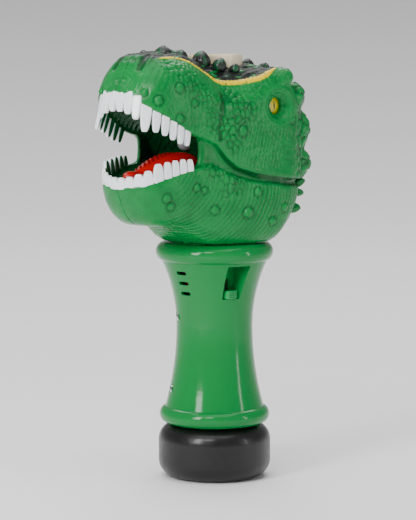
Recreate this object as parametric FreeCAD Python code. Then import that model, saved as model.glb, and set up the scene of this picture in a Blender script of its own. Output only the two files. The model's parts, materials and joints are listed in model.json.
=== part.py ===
"""Hand-held bubble wand with a dinosaur head, a waisted handle and a screw-on solution bottle.

Millimetres, +Z up. The origin is the centre of the bottle's flat underside. The creature
looks along -Y and its own left side is +X. Each sub-part is written to parts/NODE.step.
"""
import FreeCAD, Part
import math
import os

from FreeCAD import Vector

# ---------------------------------------------------------------- driving dimensions
CLEAR = 0.3                 # free gap between separate pieces
FIT = 0.05                  # radial clearance of a turning or close fit
WALL = 2.2                  # moulded shell thickness

BOTTLE_HEIGHT = 34.0        # bottle body, without its neck
BOTTLE_R = 35.4
BOTTLE_FOOT_R = 25.0        # flat ring that the wand stands on
BOTTLE_TOP_R = 24.5         # flat on top of the shoulder
BOTTLE_WALL = 1.8
BOTTLE_NECK_R = 19.5
BOTTLE_NECK_LENGTH = 14.5
BOTTLE_MOUTH_R = BOTTLE_NECK_R - 2.7

THREAD_PITCH = 4.0
THREAD_DEPTH = 1.2
THREAD_BASE = 1.9           # axial width of a ridge at its root
THREAD_CREST = 1.0
THREAD_GAP = 0.35           # radial gap between a crest and the facing wall
SOCKET_WALL = 2.6

HANDLE_HEIGHT = 114.9       # from the bottle to the head
WAIST_R = 24.0
WAIST_DROP = 53.2           # waist below the top of the handle
LOWER_FLARE = 8.66          # growth in radius from the waist to each bead
UPPER_FLARE = 12.02
LOWER_BEAD_R = 34.8
LOWER_BEAD_HALF = 5.5
UPPER_BEAD_R = 37.0
UPPER_BEAD_HALF = 6.1

VENT_COUNT = 3
VENT_STEP = 6.5
VENT_TOP_DROP = 18.2        # highest vent below the top of the handle
VENT_WIDTH = 8.0
VENT_HEIGHT = 2.2

POCKET_FLOOR_X = 19.0
POCKET_TOP_DROP = 13.4      # upper and lower ends below the top of the handle
POCKET_BOTTOM_DROP = 34.2
POCKET_Y_TOP = (-17.0, -2.0)
POCKET_Y_BOTTOM = (-15.3, -4.7)
KNOB_WIDTH = 8.0
KNOB_HEIGHT = 5.2
KNOB_REACH = 5.6
KNOB_TRAVEL = 5.5
KNOB_STEM_WIDTH = 3.0

NECK_R = 27.8               # head's neck inside the handle's collar
NECK_FLANGE_R = 31.3
NECK_FLANGE_THICK = 3.6

CELL_R = 7.25
CELL_LENGTH = 50.5
CELL_GAP = 0.7
TRAY_PLATE = 2.0
TRAY_R = 19.6

SCREW_R = 1.25
SCREW_HEAD_R = 2.6
SCREW_HEAD_HEIGHT = 1.6
SCREW_SLOT_WIDTH = 0.8       # of the cross in the head
SCREW_SLOT_DEPTH = 0.7
SCREW_SLOT_REACH = 1.7       # half the cross's length
SCREW_TIP_X = 6.0            # where the tips end in the left halves
SCREW_TIP_ROOM = 1.5         # hole left past the tips
BOSS_R = 2.7
HEAD_BOSS_R = 4.0

MOTOR_R = 10.0
MOTOR_FLAT = 7.6            # half width across the can's flats
MOTOR_LENGTH = 25.0
SHAFT_R = 1.0

GEAR_MODULE = 0.5
PINION_TEETH = 10
WHEEL_TEETH = 36
PRESSURE_ANGLE = math.radians(25.0)
GEAR_BACKLASH = 0.12
GEAR_THICK = 2.0

PUMP_TUBE_PATH_R = 11.0     # centre line of the tube round the pump
TUBE_R = 1.7
TUBE_BORE_R = 1.0

DUCT_R = 17.4
DUCT_WALL = 1.4
NOZZLE_STAND = 116.8        # nozzle's rim above the handle

WIRE_R = 0.6
WIRE_ROW = 2.4               # between the leads' solder points
TERMINAL_X = 4.0
TERMINAL_WIDTH = 1.8
TERMINAL_THICK = 0.5
TERMINAL_DROP = 2.2          # below the motor's top

# ---------------------------------------------------------------- levels and shared places
HANDLE_BOTTOM = BOTTLE_HEIGHT + CLEAR
HANDLE_TOP = HANDLE_BOTTOM + HANDLE_HEIGHT
WAIST_Z = HANDLE_TOP - WAIST_DROP
LOWER_BEAD_Z = HANDLE_BOTTOM + LOWER_BEAD_HALF + 0.1
UPPER_BEAD_Z = HANDLE_TOP - UPPER_BEAD_HALF - 0.1
LOWER_SWEEP_R = ((WAIST_Z - LOWER_BEAD_Z) ** 2 + LOWER_FLARE ** 2) / (2 * LOWER_FLARE)
UPPER_SWEEP_R = ((UPPER_BEAD_Z - WAIST_Z) ** 2 + UPPER_FLARE ** 2) / (2 * UPPER_FLARE)

SOCKET_BORE_R = BOTTLE_NECK_R + THREAD_DEPTH + THREAD_GAP
SOCKET_R = SOCKET_BORE_R + SOCKET_WALL
SOCKET_FLANGE_R = SOCKET_R + 5.3
SOCKET_FLOOR_Z = HANDLE_BOTTOM + 2.5
SEAL_THICK = 2.0
NECK_TOP_Z = BOTTLE_HEIGHT + BOTTLE_NECK_LENGTH
SEAL_Z = NECK_TOP_Z
SOCKET_CEILING_Z = SEAL_Z + SEAL_THICK + CLEAR
SOCKET_TOP_Z = SOCKET_CEILING_Z + 2.2

NECK_FLANGE_TOP_Z = HANDLE_TOP - 4.3
NECK_FLANGE_Z = NECK_FLANGE_TOP_Z - NECK_FLANGE_THICK
NECK_BORE_R = NECK_R - WALL - 0.3
LEDGE_R = NECK_BORE_R - 2.8

SHELF = 1.5                 # ribs of the shells that hold the tray
TRAY_Z = SOCKET_TOP_Z + 2 * BOSS_R + SHELF + 2 * CLEAR
CELL_Z = TRAY_Z + TRAY_PLATE + 1.6
TRAY_TOP_Z = CELL_Z + CELL_LENGTH + 1.6
CELL_PITCH = 2 * CELL_R + CELL_GAP
CELL_BACK_X = -CELL_R - 1.6
TRAY_POST_X, TRAY_POST_Y = 2.6, 13.0
CELL_PLACES = (
    Vector(CELL_BACK_X, -CELL_PITCH / 2, 0),
    Vector(CELL_BACK_X, CELL_PITCH / 2, 0),
    Vector(CELL_BACK_X + CELL_PITCH * math.sin(math.radians(60)), 0, 0),
)

DOOR_HALF_WIDTH = 14.7
DOOR_BOTTOM_Z = CELL_Z - 1.0
DOOR_TOP_Z = TRAY_TOP_Z + TRAY_PLATE + 9.2
DOOR_LIP = 2.0
DOOR_GRIP_RISE = 6.0         # of the grip grooves above the door's lower edge
DOOR_GRIP_STEP = 2.4
DOOR_GRIP_DEPTH = 0.7
DOOR_GRIP_REACH = 5.0
DOOR_SCREW_Z = DOOR_TOP_Z - 4.6

WASHER_DEPTH = 2.0          # the screw's washer below the door's inner face

PLATE_Z = HANDLE_TOP + 2.3  # underside of the motor plate
PLATE_THICK = 2.0
PLATE_R = NECK_BORE_R - CLEAR
GEAR_CENTRES = GEAR_MODULE * (PINION_TEETH + WHEEL_TEETH) / 2
IDLER_PLACE = Vector(-GEAR_CENTRES, 0, 0)
IDLER_WHEEL_Z = PLATE_Z - 1.9 - GEAR_THICK
PUMP_WHEEL_Z = IDLER_WHEEL_Z - 2.4 - GEAR_THICK
COVER_Z = PUMP_WHEEL_Z - 1.0 - 1.5
COVER_THICK = 1.5
COVER_R = PUMP_TUBE_PATH_R + TUBE_R + 5.8
PUMP_HEIGHT = 9.0
PUMP_Z = COVER_Z - PUMP_HEIGHT
PUMP_BASE = 1.5
PUMP_MID_Z = (PUMP_Z + PUMP_BASE + COVER_Z) / 2
POST_R = 2.2
POST_RING_R = COVER_R - POST_R - 0.8
POST_ANGLES = (0.0, 90.0, 270.0)

MOTOR_Z = PLATE_Z + PLATE_THICK
MOTOR_TOP_Z = MOTOR_Z + MOTOR_LENGTH
FAN_Z = MOTOR_TOP_Z + 2.4
FAN_HEIGHT = 7.0
DUCT_Z = MOTOR_TOP_Z + 0.9
DUCT_BORE_R = DUCT_R - DUCT_WALL
FAN_R = DUCT_BORE_R - 0.6
NOZZLE_TOP_Z = HANDLE_TOP + NOZZLE_STAND
NOZZLE_LENGTH = 42.0
NOZZLE_Z = NOZZLE_TOP_Z - NOZZLE_LENGTH
RING_Z = NOZZLE_TOP_Z - 13.0
TRAY_RIM_Z = RING_Z - CLEAR
DRIP_Z = RING_Z - 10.0
RING_R = DUCT_BORE_R - CLEAR
RING_BORE_R = 10.5

FEED_XY = (PUMP_TUBE_PATH_R + 2.0, PUMP_TUBE_PATH_R)
FEED_LOW_XY = (9.5, 14.0)
DELIVERY_XY = (PUMP_TUBE_PATH_R + 2.0, -PUMP_TUBE_PATH_R)
RISER_XY = (16.2, -15.2)
RETURN_LOW_XY = (8.0, -15.5)
RETURN_XY = (11.6, -18.2)
TUBE_TURN = 1.8             # where the tubes turn above the socket, and how far they rise
TUBE_SHIFT = 3.8
DIP_XY = (4.5, 3.5)
DRAIN_XY = (4.5, -3.5)

SWITCH_Y = (POCKET_Y_TOP[0] + POCKET_Y_TOP[1]) / 2
POCKET_BOTTOM_Z = HANDLE_TOP - POCKET_BOTTOM_DROP
POCKET_TOP_Z = HANDLE_TOP - POCKET_TOP_DROP
KNOB_Z = POCKET_BOTTOM_Z + 2.8
POCKET_SKIN_X = POCKET_FLOOR_X - WALL
SWITCH_DEPTH = 4.6
BOARD_X = POCKET_SKIN_X - CLEAR - SWITCH_DEPTH - 1.2
CHIP_THICK = 1.4

# Plan outlines of the head at heights above the neck: (forward, half width) pairs that run
# from the middle of the muzzle to the middle of the nape.
HEAD_Z = HANDLE_TOP + 0.8
HEAD_OUTLINES = (
    (0.0, ((28.5, 0), (21.8, 18.3), (5.0, 28.0), (-12.0, 25.8), (-23.3, 16.4), (-28.5, 0))),
    (5.0, ((37, 0), (29, 20), (8, 30), (-12, 30), (-25, 20), (-31, 0))),
    (11.0, ((58, 0), (48, 20), (24, 31), (-8, 35), (-29, 24), (-37, 0))),
    (18.0, ((78, 0), (70, 20.5), (40, 30), (-6, 38), (-34, 26), (-43, 0))),
    (28.0, ((86.5, 0), (79, 20.5), (46, 31), (-8, 40), (-38, 29), (-49, 0))),
    (42.0, ((87.5, 0), (80.5, 21), (46, 32), (-12, 42.5), (-44, 33), (-57, 0))),
    (65.0, ((88, 0), (81.5, 21), (46, 31.5), (-12, 42.5), (-44, 34), (-58.5, 0))),
    (90.0, ((88, 0), (81.5, 21), (46, 31), (-15, 42.5), (-42, 35), (-55, 0))),
    (103.0, ((85.5, 0), (79, 20), (44, 28.5), (-18, 40.5), (-38, 31), (-49, 0))),
    (112.0, ((78, 0), (73, 16), (44, 23), (-10, 30), (-30, 23), (-38, 0))),
    (118.0, ((64, 0), (59, 9), (40, 13), (4, 15), (-13, 11), (-20, 0))),
)
# Side outline of the open mouth: (forward, height above the handle) pairs.
MOUTH_ROOF = ((94, 98.5), (87, 94.4), (81, 86.6), (68, 79.4), (57, 72.4), (48, 67.0))
MOUTH_FLOOR = ((46, 49.5), (54, 48.3), (74, 43.0), (94, 38.0))
MOUTH_BACK_U = 24.0
MOUTH_BACK_HALF_WIDTH = 24.0
# (distance along the lip from the muzzle's middle, width, length) of each tooth of one side
UPPER_TEETH = (
    (3.4, 6.2, 11.0), (9.8, 6.0, 11.0), (15.8, 5.6, 11.0), (22.5, 6.6, 14.8), (29.0, 5.4, 11.0),
    (35.0, 5.2, 10.4), (41.0, 5.0, 10.0), (46.8, 4.8, 9.4), (52.4, 4.4, 7.4),
)
LOWER_TEETH = (
    (3.2, 5.8, 5.6), (9.2, 5.8, 6.4), (15.2, 6.0, 7.2), (21.6, 6.4, 8.2), (28.4, 6.6, 9.8),
    (35.0, 6.0, 9.0), (41.2, 5.6, 7.8), (47.0, 5.2, 7.0), (52.4, 4.8, 5.8),
)
TOOTH_ROOT = 2.4            # part of a tooth that is sunk in the lip
# (forward, half width, height above the handle, radius) of the raised knobs of one side
CREST_KNOBS = (
    (46.0, 8.6, 120.6, 5.2), (32.0, 8.4, 117.4, 4.6), (23.0, 8.8, 115.5, 4.4), (-25.0, 12.0, 110.5, 5.0),
    (-24.0, 33.0, 102.0, 8.2), (-40.0, 30.5, 90.0, 8.0), (-43.0, 30.0, 66.0, 8.4),
    (-44.0, 28.0, 46.0, 8.0), (-37.0, 24.0, 30.0, 6.4), (-31.0, 21.0, 19.0, 5.4),
)
EYE_U, EYE_H = -15.0, 85.3
EYE_R = 6.5
EYE_FACE_X = 36.4
MOUTH_LED_H = 62.0
LED_R = 4.0
HEAD_SCREWS = ((-46.0, 62.0), (-38.0, 96.0), (68.0, 101.0), (58.0, 27.0))
LOWER_SCREW_Z = SOCKET_TOP_Z + CLEAR + BOSS_R
HANDLE_SCREWS = ((-23.4, LOWER_SCREW_Z), (23.4, LOWER_SCREW_Z),
                 (21.0, POCKET_TOP_Z - 10.0), (-20.3, WAIST_Z + 6.0))


# ---------------------------------------------------------------- general helpers
def cylinder(x, y, z, radius, length, axis=Vector(0, 0, 1)):
    """A solid cylinder from a point along an axis."""
    return Part.makeCylinder(radius, length, Vector(x, y, z), axis)


def ring(z, outer, inner, height, x=0.0, y=0.0):
    """A flat or tall ring about a vertical axis."""
    bore = cylinder(x, y, z - 1, inner, height + 2)
    return cylinder(x, y, z, outer, height).cut(bore)


def box(low, high):
    """A box between two corners."""
    size = [b - a for a, b in zip(low, high)]
    return Part.makeBox(size[0], size[1], size[2], Vector(*low))


def turned(edges):
    """A solid of revolution about Z from edges in the XZ plane that make a closed wire."""
    face = Part.Face(Part.Wire(Part.__sortEdges__(edges)))
    return face.revolve(Vector(0, 0, 0), Vector(0, 0, 1), 360)


def lines(points, closed=True):
    """Straight edges through (r, z) points of the XZ plane."""
    ends = [Vector(r, 0, z) for r, z in points]
    pairs = list(zip(ends, ends[1:]))
    if closed:
        pairs.append((ends[-1], ends[0]))
    return [Part.LineSegment(a, b).toShape() for a, b in pairs]


def arc(start, middle, end):
    """A circular edge through three (r, z) points of the XZ plane."""
    return Part.Arc(*[Vector(r, 0, z) for r, z in (start, middle, end)]).toShape()


def fused(first, *others):
    """One solid from overlapping pieces."""
    return first.multiFuse(list(others)).removeSplitter() if others else first


def side_prism(points, half_width):
    """A prism across X from (forward, z) points."""
    corners = [Vector(-half_width, -u, z) for u, z in points]
    face = Part.Face(Part.makePolygon(corners + corners[:1]))
    return face.extrude(Vector(2 * half_width, 0, 0))


def half(shape, side):
    """The part of a shape on one side of the parting plane; side is 1 for left, -1 for right."""
    reach = 200.0
    low, high = (0.0, reach) if side > 0 else (-reach, 0.0)
    return shape.common(box((low, -reach, -10.0), (high, reach, 400.0)))


def route(points, bend, radius, bore=0.0):
    """A round tube or wire along straight runs joined by tangent arcs."""
    spots = [Vector(*p) for p in points]
    edges, start = [], spots[0]
    for before, corner, after in zip(spots, spots[1:], spots[2:]):
        into = (corner - before).normalize()
        out = (after - corner).normalize()
        turn = into.getAngle(out)
        cut = bend * math.tan(turn / 2)
        first, last = corner - into * cut, corner + out * cut
        inward = (out - into).normalize()
        centre = corner + inward * (bend / math.cos(turn / 2))
        middle = centre - inward * bend
        edges += [Part.LineSegment(start, first).toShape(), Part.Arc(first, middle, last).toShape()]
        start = last
    edges.append(Part.LineSegment(start, spots[-1]).toShape())
    path = Part.Wire(edges)
    heading = (spots[1] - spots[0]).normalize()

    def sweep(r):
        circle = Part.Wire(Part.makeCircle(r, spots[0], heading))
        return path.makePipeShell([circle], True, False)

    tube = sweep(radius)
    return tube.cut(sweep(bore)) if bore else tube


def helical_ridge(radius, z, turns, inward):
    """A right-hand thread ridge on a cylinder's outside, or on a bore's inside."""
    spine = Part.Wire(Part.makeHelix(THREAD_PITCH, THREAD_PITCH * turns, radius).Edges)
    spine.translate(Vector(0, 0, z))
    root = radius + (0.2 if inward else -0.2)
    crest = radius + (-THREAD_DEPTH if inward else THREAD_DEPTH)
    corners = [(root, z - THREAD_BASE / 2), (crest, z - THREAD_CREST / 2),
               (crest, z + THREAD_CREST / 2), (root, z + THREAD_BASE / 2)]
    profile = Part.Wire(lines(corners))
    return spine.makePipeShell([profile], True, True)


def gear(teeth, thick, phase, bore):
    """A spur gear with short involute teeth; phase is the angle of its first tooth."""
    pitch_r = GEAR_MODULE * teeth / 2
    base_r = pitch_r * math.cos(PRESSURE_ANGLE)
    tip_r = pitch_r + 0.8 * GEAR_MODULE
    root_r = pitch_r - GEAR_MODULE
    involute = math.tan(PRESSURE_ANGLE) - PRESSURE_ANGLE
    half_tooth = (math.pi * GEAR_MODULE / 2 - GEAR_BACKLASH) / (2 * pitch_r)

    def flank(radius):
        if radius <= base_r:
            return half_tooth + involute
        angle = math.acos(base_r / radius)
        return half_tooth + involute - (math.tan(angle) - angle)

    start_r = max(base_r, root_r)
    steps = [start_r + (tip_r - start_r) * k / 4 for k in range(5)]
    rising = ([root_r] if root_r < start_r - 0.01 else []) + steps
    corners = []
    for tooth in range(teeth):
        centre = math.radians(phase) + 2 * math.pi * tooth / teeth
        for radius in rising:
            corners.append((radius, centre - flank(radius)))
        for radius in reversed(rising):
            corners.append((radius, centre + flank(radius)))
    points = [Vector(r * math.cos(a), r * math.sin(a), 0) for r, a in corners]
    disc = Part.Face(Part.makePolygon(points + points[:1])).extrude(Vector(0, 0, thick))
    return disc.cut(cylinder(0, 0, -1, bore, thick + 2))


# ---------------------------------------------------------------- handle
def sweep_radius(z, inset):
    """Radius of the waisted side at a height, moved inwards by a wall."""
    sweep = LOWER_SWEEP_R if z < WAIST_Z else UPPER_SWEEP_R
    return WAIST_R + sweep - math.sqrt((sweep + inset) ** 2 - (z - WAIST_Z) ** 2)


def waisted_solid(low, high, inset=0.0):
    """The handle's waisted body between two heights, moved inwards by a wall."""
    points = []
    for a, b in ((low, WAIST_Z), (WAIST_Z, high)):
        points.append([(sweep_radius(z, inset), z) for z in (a, (a + b) / 2, b)])
    # Each half has its own radius, so both reach the waist with a vertical tangent.
    lower, upper = arc(*points[0]), arc(*points[1])
    ends = lines([points[1][2], (0, high), (0, low), points[0][0]], closed=False)
    return turned([lower, upper] + ends)


def bead_solid(z, radius, half_height):
    """A rounded collar about the handle."""
    core = radius - half_height
    side = arc((core, z - half_height), (radius, z), (core, z + half_height))
    ends = lines([(core, z + half_height), (0, z + half_height), (0, z - half_height),
                  (core, z - half_height)], closed=False)
    return turned([side] + ends)


def handle_outside():
    """The handle as a solid block: two beads and the waisted body."""
    body = waisted_solid(LOWER_BEAD_Z, UPPER_BEAD_Z)
    return fused(body, bead_solid(LOWER_BEAD_Z, LOWER_BEAD_R, LOWER_BEAD_HALF),
                 bead_solid(UPPER_BEAD_Z, UPPER_BEAD_R, UPPER_BEAD_HALF))


def handle_inside():
    """Everything that is hollow in the two handle shells."""
    ledge_low = NECK_FLANGE_Z - CLEAR - 2.6
    room = waisted_solid(SOCKET_FLOOR_Z + 9.0, ledge_low, WALL)
    return fused(
        room,
        cylinder(0, 0, HANDLE_BOTTOM - 1, SOCKET_R + CLEAR, 20.0),
        cylinder(0, 0, SOCKET_FLOOR_Z, SOCKET_FLANGE_R + CLEAR, 2.0 + CLEAR),
        cylinder(0, 0, ledge_low - 1, NECK_R + CLEAR, HANDLE_TOP - ledge_low + 2),
        cylinder(0, 0, NECK_FLANGE_Z - CLEAR, NECK_FLANGE_R + CLEAR, NECK_FLANGE_THICK + 2 * CLEAR),
    )


def flat_waist_shelf(z):
    """A rib ring inside the shells that holds the battery tray."""
    outer = min(sweep_radius(z, WALL / 2), sweep_radius(z + SHELF, WALL / 2))
    return ring(z, outer, TRAY_R - 2.2, SHELF)


def tube_notches():
    """Clear ways for the two liquid tubes through ribs and tray plates."""
    ways = [cylinder(x, y, TRAY_Z - 8, TUBE_R + CLEAR, TRAY_TOP_Z - TRAY_Z + 20)
            for x, y in (FEED_LOW_XY, RETURN_LOW_XY)]
    return ways[0].fuse(ways[1])


def pocket_prism(grow, low_x, high_x):
    """The thumb pocket's tapered outline, grown by a wall, between two depths."""
    top, bottom = POCKET_TOP_Z + grow, POCKET_BOTTOM_Z - grow
    corners = [(POCKET_Y_BOTTOM[0] - grow, bottom), (POCKET_Y_BOTTOM[1] + grow, bottom),
               (POCKET_Y_TOP[1] + grow, top), (POCKET_Y_TOP[0] - grow, top)]
    points = [Vector(low_x, y, z) for y, z in corners]
    face = Part.Face(Part.makePolygon(points + points[:1]))
    return face.extrude(Vector(high_x - low_x, 0, 0))


def vents():
    """Rounded air slots across the front seam."""
    slots = []
    for index in range(VENT_COUNT):
        z = HANDLE_TOP - VENT_TOP_DROP - index * VENT_STEP
        reach = VENT_WIDTH / 2 - VENT_HEIGHT / 2
        slots.append(box((-reach, -45, z - VENT_HEIGHT / 2), (reach, -20, z + VENT_HEIGHT / 2)))
        slots += [cylinder(x, -45, z, VENT_HEIGHT / 2, 25, Vector(0, 1, 0)) for x in (-reach, reach)]
    return slots


def boss_bars(places, radius):
    """Screw pillars across the parting plane at (y, z) places."""
    return [cylinder(-60, y, z, radius, 120, Vector(1, 0, 0)) for y, z in places]


def screw_holes(places, seats):
    """Blind shank holes and head recesses from the right; seats are the heads' undersides."""
    holes = []
    for (y, z), seat in zip(places, seats):
        depth = SCREW_TIP_X + SCREW_TIP_ROOM - seat
        holes.append(cylinder(seat, y, z, SCREW_R + FIT, depth, Vector(1, 0, 0)))
        holes.append(cylinder(seat, y, z, SCREW_HEAD_R + 0.2, 60, Vector(-1, 0, 0)))
    return holes


def handle_seats():
    """How deep each handle screw's head sits below the right shell's surface."""
    seats = []
    for y, z in HANDLE_SCREWS:
        surface = math.sqrt(sweep_radius(z, 0.0) ** 2 - y ** 2)
        seats.append(-surface + 3.2)
    return seats


def door_window(grow):
    """The block that cuts the battery opening and bounds its door."""
    reach = DOOR_HALF_WIDTH + grow
    return box((-60, -reach, DOOR_BOTTOM_Z - grow), (0, reach, DOOR_TOP_Z + grow))


def door_lip():
    """The step inside the right shell that the battery door rests on, with the screw's boss."""
    low, high = DOOR_BOTTOM_Z - 3.5, DOOR_TOP_Z + 3.0
    band = waisted_solid(low, high, WALL).cut(waisted_solid(low, high, WALL + 1.3))
    reach = DOOR_HALF_WIDTH + 2.5
    frame = band.common(box((-60, -reach, low), (0, reach, high)))
    opening = box((-60, -DOOR_HALF_WIDTH + DOOR_LIP, DOOR_BOTTOM_Z + DOOR_LIP),
                  (0, DOOR_HALF_WIDTH - DOOR_LIP, TRAY_TOP_Z))
    face = -sweep_radius(DOOR_SCREW_Z, WALL)
    boss = cylinder(face - 2, 0, DOOR_SCREW_Z, 4.2, 11.0, Vector(1, 0, 0))
    boss = boss.common(waisted_solid(low, high, WALL))
    washer_room = cylinder(face - 3, 0, DOOR_SCREW_Z, 3.0, 3.0 + WASHER_DEPTH + 1.3, Vector(1, 0, 0))
    shank = cylinder(face - 3, 0, DOOR_SCREW_Z, SCREW_R + FIT, 30, Vector(1, 0, 0))
    return fused(frame.cut(opening), boss).cut(washer_room).cut(shank)


def knob_slot():
    """The long hole in the pocket's floor that the knob's stem slides in."""
    side = KNOB_STEM_WIDTH / 2 + CLEAR
    low, high = KNOB_Z - KNOB_HEIGHT / 2 + 0.4, KNOB_Z + KNOB_TRAVEL + KNOB_HEIGHT / 2 + 1.6
    return box((POCKET_SKIN_X - 1, SWITCH_Y - side, low), (POCKET_FLOOR_X + 1, SWITCH_Y + side, high))


def handle_shell(side):
    """One moulded half of the handle: 1 is the left half, -1 the right half."""
    outside, inside = handle_outside(), handle_inside()
    shell = half(outside.cut(inside), side)
    body = half(outside, side)
    ribs = [half(flat_waist_shelf(z), side) for z in (TRAY_Z - SHELF, TRAY_TOP_Z + TRAY_PLATE)]
    bosses = [half(bar.common(body), side) for bar in boss_bars(HANDLE_SCREWS, BOSS_R)]
    if side > 0:
        behind_switch = box((BOARD_X - 2 * CLEAR, -45, TRAY_TOP_Z), (45, 45, TRAY_TOP_Z + 9))
        ribs[1] = ribs[1].cut(behind_switch)
    shell = fused(shell, *(ribs + bosses)).cut(tube_notches())
    for cut in screw_holes(HANDLE_SCREWS, handle_seats()) + vents():
        shell = shell.cut(cut)
    if side > 0:
        tub = pocket_prism(WALL, POCKET_SKIN_X, 60).common(body)
        shell = fused(shell, tub).cut(pocket_prism(0.0, POCKET_FLOOR_X, 60)).cut(knob_slot())
    else:
        shell = fused(shell.cut(door_window(CLEAR)), door_lip())
        shell = shell.cut(cylinder(-60, 0, DOOR_SCREW_Z, SCREW_R + FIT, 50, Vector(1, 0, 0)))
    return shell


def battery_door():
    """The curved cover of the battery opening, in line with the handle's outside."""
    low, high = DOOR_BOTTOM_Z - 1, DOOR_TOP_Z + 1
    skin = waisted_solid(low, high).cut(waisted_solid(low, high, WALL - 0.02))
    panel = skin.common(door_window(0.0))
    face = -sweep_radius(DOOR_SCREW_Z, 0.0)
    recess = cylinder(face - 2, 0, DOOR_SCREW_Z, SCREW_HEAD_R + 0.3, 3.1, Vector(1, 0, 0))
    shank = cylinder(face - 2, 0, DOOR_SCREW_Z, SCREW_R + 0.2, 10, Vector(1, 0, 0))
    floor = -sweep_radius(DOOR_BOTTOM_Z + DOOR_GRIP_RISE, 0.0) + DOOR_GRIP_DEPTH
    lows = [DOOR_BOTTOM_Z + DOOR_GRIP_RISE + index * DOOR_GRIP_STEP for index in range(3)]
    grip = [box((-60, -DOOR_GRIP_REACH, z), (floor, DOOR_GRIP_REACH, z + DOOR_GRIP_STEP / 2)) for z in lows]
    for cut in [recess, shank] + grip:
        panel = panel.cut(cut)
    return panel


def door_screw():
    """The captive screw of the battery door."""
    face = -sweep_radius(DOOR_SCREW_Z, 0.0) + 1.1
    head = cylinder(face - 1.3, 0, DOOR_SCREW_Z, SCREW_HEAD_R, 1.3, Vector(1, 0, 0))
    shank = cylinder(face, 0, DOOR_SCREW_Z, SCREW_R, 8.0, Vector(1, 0, 0))
    deep, reach, half_slot = face - 1.3 + SCREW_SLOT_DEPTH, SCREW_SLOT_REACH, SCREW_SLOT_WIDTH / 2
    slot = box((face - 1.4, -half_slot, DOOR_SCREW_Z - reach), (deep, half_slot, DOOR_SCREW_Z + reach))
    cross = box((face - 1.4, -reach, DOOR_SCREW_Z - half_slot), (deep, reach, DOOR_SCREW_Z + half_slot))
    return head.fuse(shank).cut(slot).cut(cross)


def door_screw_washer():
    """The ring that keeps the screw in the door when it is undone."""
    face = -sweep_radius(DOOR_SCREW_Z, WALL)
    outer = cylinder(face + WASHER_DEPTH, 0, DOOR_SCREW_Z, SCREW_HEAD_R, 0.8, Vector(1, 0, 0))
    return outer.cut(cylinder(face - 1, 0, DOOR_SCREW_Z, SCREW_R + FIT, 6, Vector(1, 0, 0)))


def switch_knob():
    """The ribbed thumb knob with the stem that reaches the switch."""
    low, high = KNOB_Z - KNOB_HEIGHT / 2, KNOB_Z + KNOB_HEIGHT / 2
    base = POCKET_FLOOR_X + CLEAR
    cap = box((base, SWITCH_Y - KNOB_WIDTH / 2, low), (base + KNOB_REACH, SWITCH_Y + KNOB_WIDTH / 2, high))
    cap = cap.makeFillet(0.8, cap.Edges)
    stem = box((POCKET_SKIN_X - CLEAR - 1.8, SWITCH_Y - KNOB_STEM_WIDTH / 2, low + 1.0),
               (base + 1, SWITCH_Y + KNOB_STEM_WIDTH / 2, high - 0.6))
    grooves = [box((base + KNOB_REACH - 0.6, SWITCH_Y - KNOB_WIDTH, KNOB_Z + dz - 0.35),
                   (base + KNOB_REACH + 1, SWITCH_Y + KNOB_WIDTH, KNOB_Z + dz + 0.35))
               for dz in (-1.3, 0.0, 1.3)]
    knob = cap.fuse(stem)
    for groove in grooves:
        knob = knob.cut(groove)
    return knob


def slide_switch():
    """The two-position slide switch behind the pocket's floor."""
    high_x = POCKET_SKIN_X - CLEAR
    low_x = high_x - SWITCH_DEPTH
    low_z, high_z = KNOB_Z - 4.2, KNOB_Z + KNOB_TRAVEL + 4.2
    can = box((low_x, SWITCH_Y - 2.6, low_z), (high_x, SWITCH_Y + 2.6, high_z))
    side = KNOB_STEM_WIDTH / 2 + 0.2
    way = box((high_x - 2.4, SWITCH_Y - side, KNOB_Z - 2.2), (high_x + 1, SWITCH_Y + side,
              KNOB_Z + KNOB_TRAVEL + 2.8))
    return can.cut(way)


def circuit_board():
    """The small board that carries the switch, with its few parts."""
    low_z = KNOB_Z - 3.6
    board = box((BOARD_X, SWITCH_Y - 3.4, low_z), (BOARD_X + 1.2, SWITCH_Y + 8.2, low_z + 15.6))
    chip = box((BOARD_X - CHIP_THICK, SWITCH_Y + 3.6, low_z + 2.5), (BOARD_X, SWITCH_Y + 7.2, low_z + 6.5))
    cap = cylinder(BOARD_X - 2.6, SWITCH_Y + 5.4, low_z + 12.4, 1.6, 2.6, Vector(1, 0, 0))
    return fused(board, chip, cap)


# ---------------------------------------------------------------- bottle and its socket
def bottle():
    """The screw-on solution bottle with its outside thread."""
    shoulder = 10.0
    foot = 11.5

    def body(inset):
        low, high, r = inset, BOTTLE_HEIGHT - inset, BOTTLE_R - inset
        foot_r, top_r = BOTTLE_FOOT_R - inset * 0.2, BOTTLE_TOP_R - inset * 0.2
        dip = 0.707
        foot_mid = (foot_r + (r - foot_r) * dip, low + (foot - low) * (1 - dip))
        top_z = BOTTLE_HEIGHT - shoulder
        top_mid = (top_r + (r - top_r) * dip, high - (high - top_z) * (1 - dip))
        edges = [arc((foot_r, low), foot_mid, (r, foot)), arc((r, top_z), top_mid, (top_r, high))]
        edges += lines([(r, foot), (r, top_z)], closed=False)
        edges += lines([(top_r, high), (0, high), (0, low), (foot_r, low)], closed=False)
        return turned(edges)

    neck = cylinder(0, 0, BOTTLE_HEIGHT - 2, BOTTLE_NECK_R, BOTTLE_NECK_LENGTH + 2)
    turns = (BOTTLE_NECK_LENGTH - 4.0) / THREAD_PITCH
    ridge = helical_ridge(BOTTLE_NECK_R, BOTTLE_HEIGHT + 2.0, turns, False)
    bore = cylinder(0, 0, BOTTLE_HEIGHT - 6, BOTTLE_MOUTH_R, BOTTLE_NECK_LENGTH + 10)
    return fused(body(0.0), neck, ridge).cut(body(BOTTLE_WALL)).cut(bore)


def bottle_seal():
    """The rubber washer on the bottle's rim, with room for both tubes."""
    return ring(SEAL_Z, BOTTLE_NECK_R - CLEAR, 9.0, SEAL_THICK)


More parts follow.
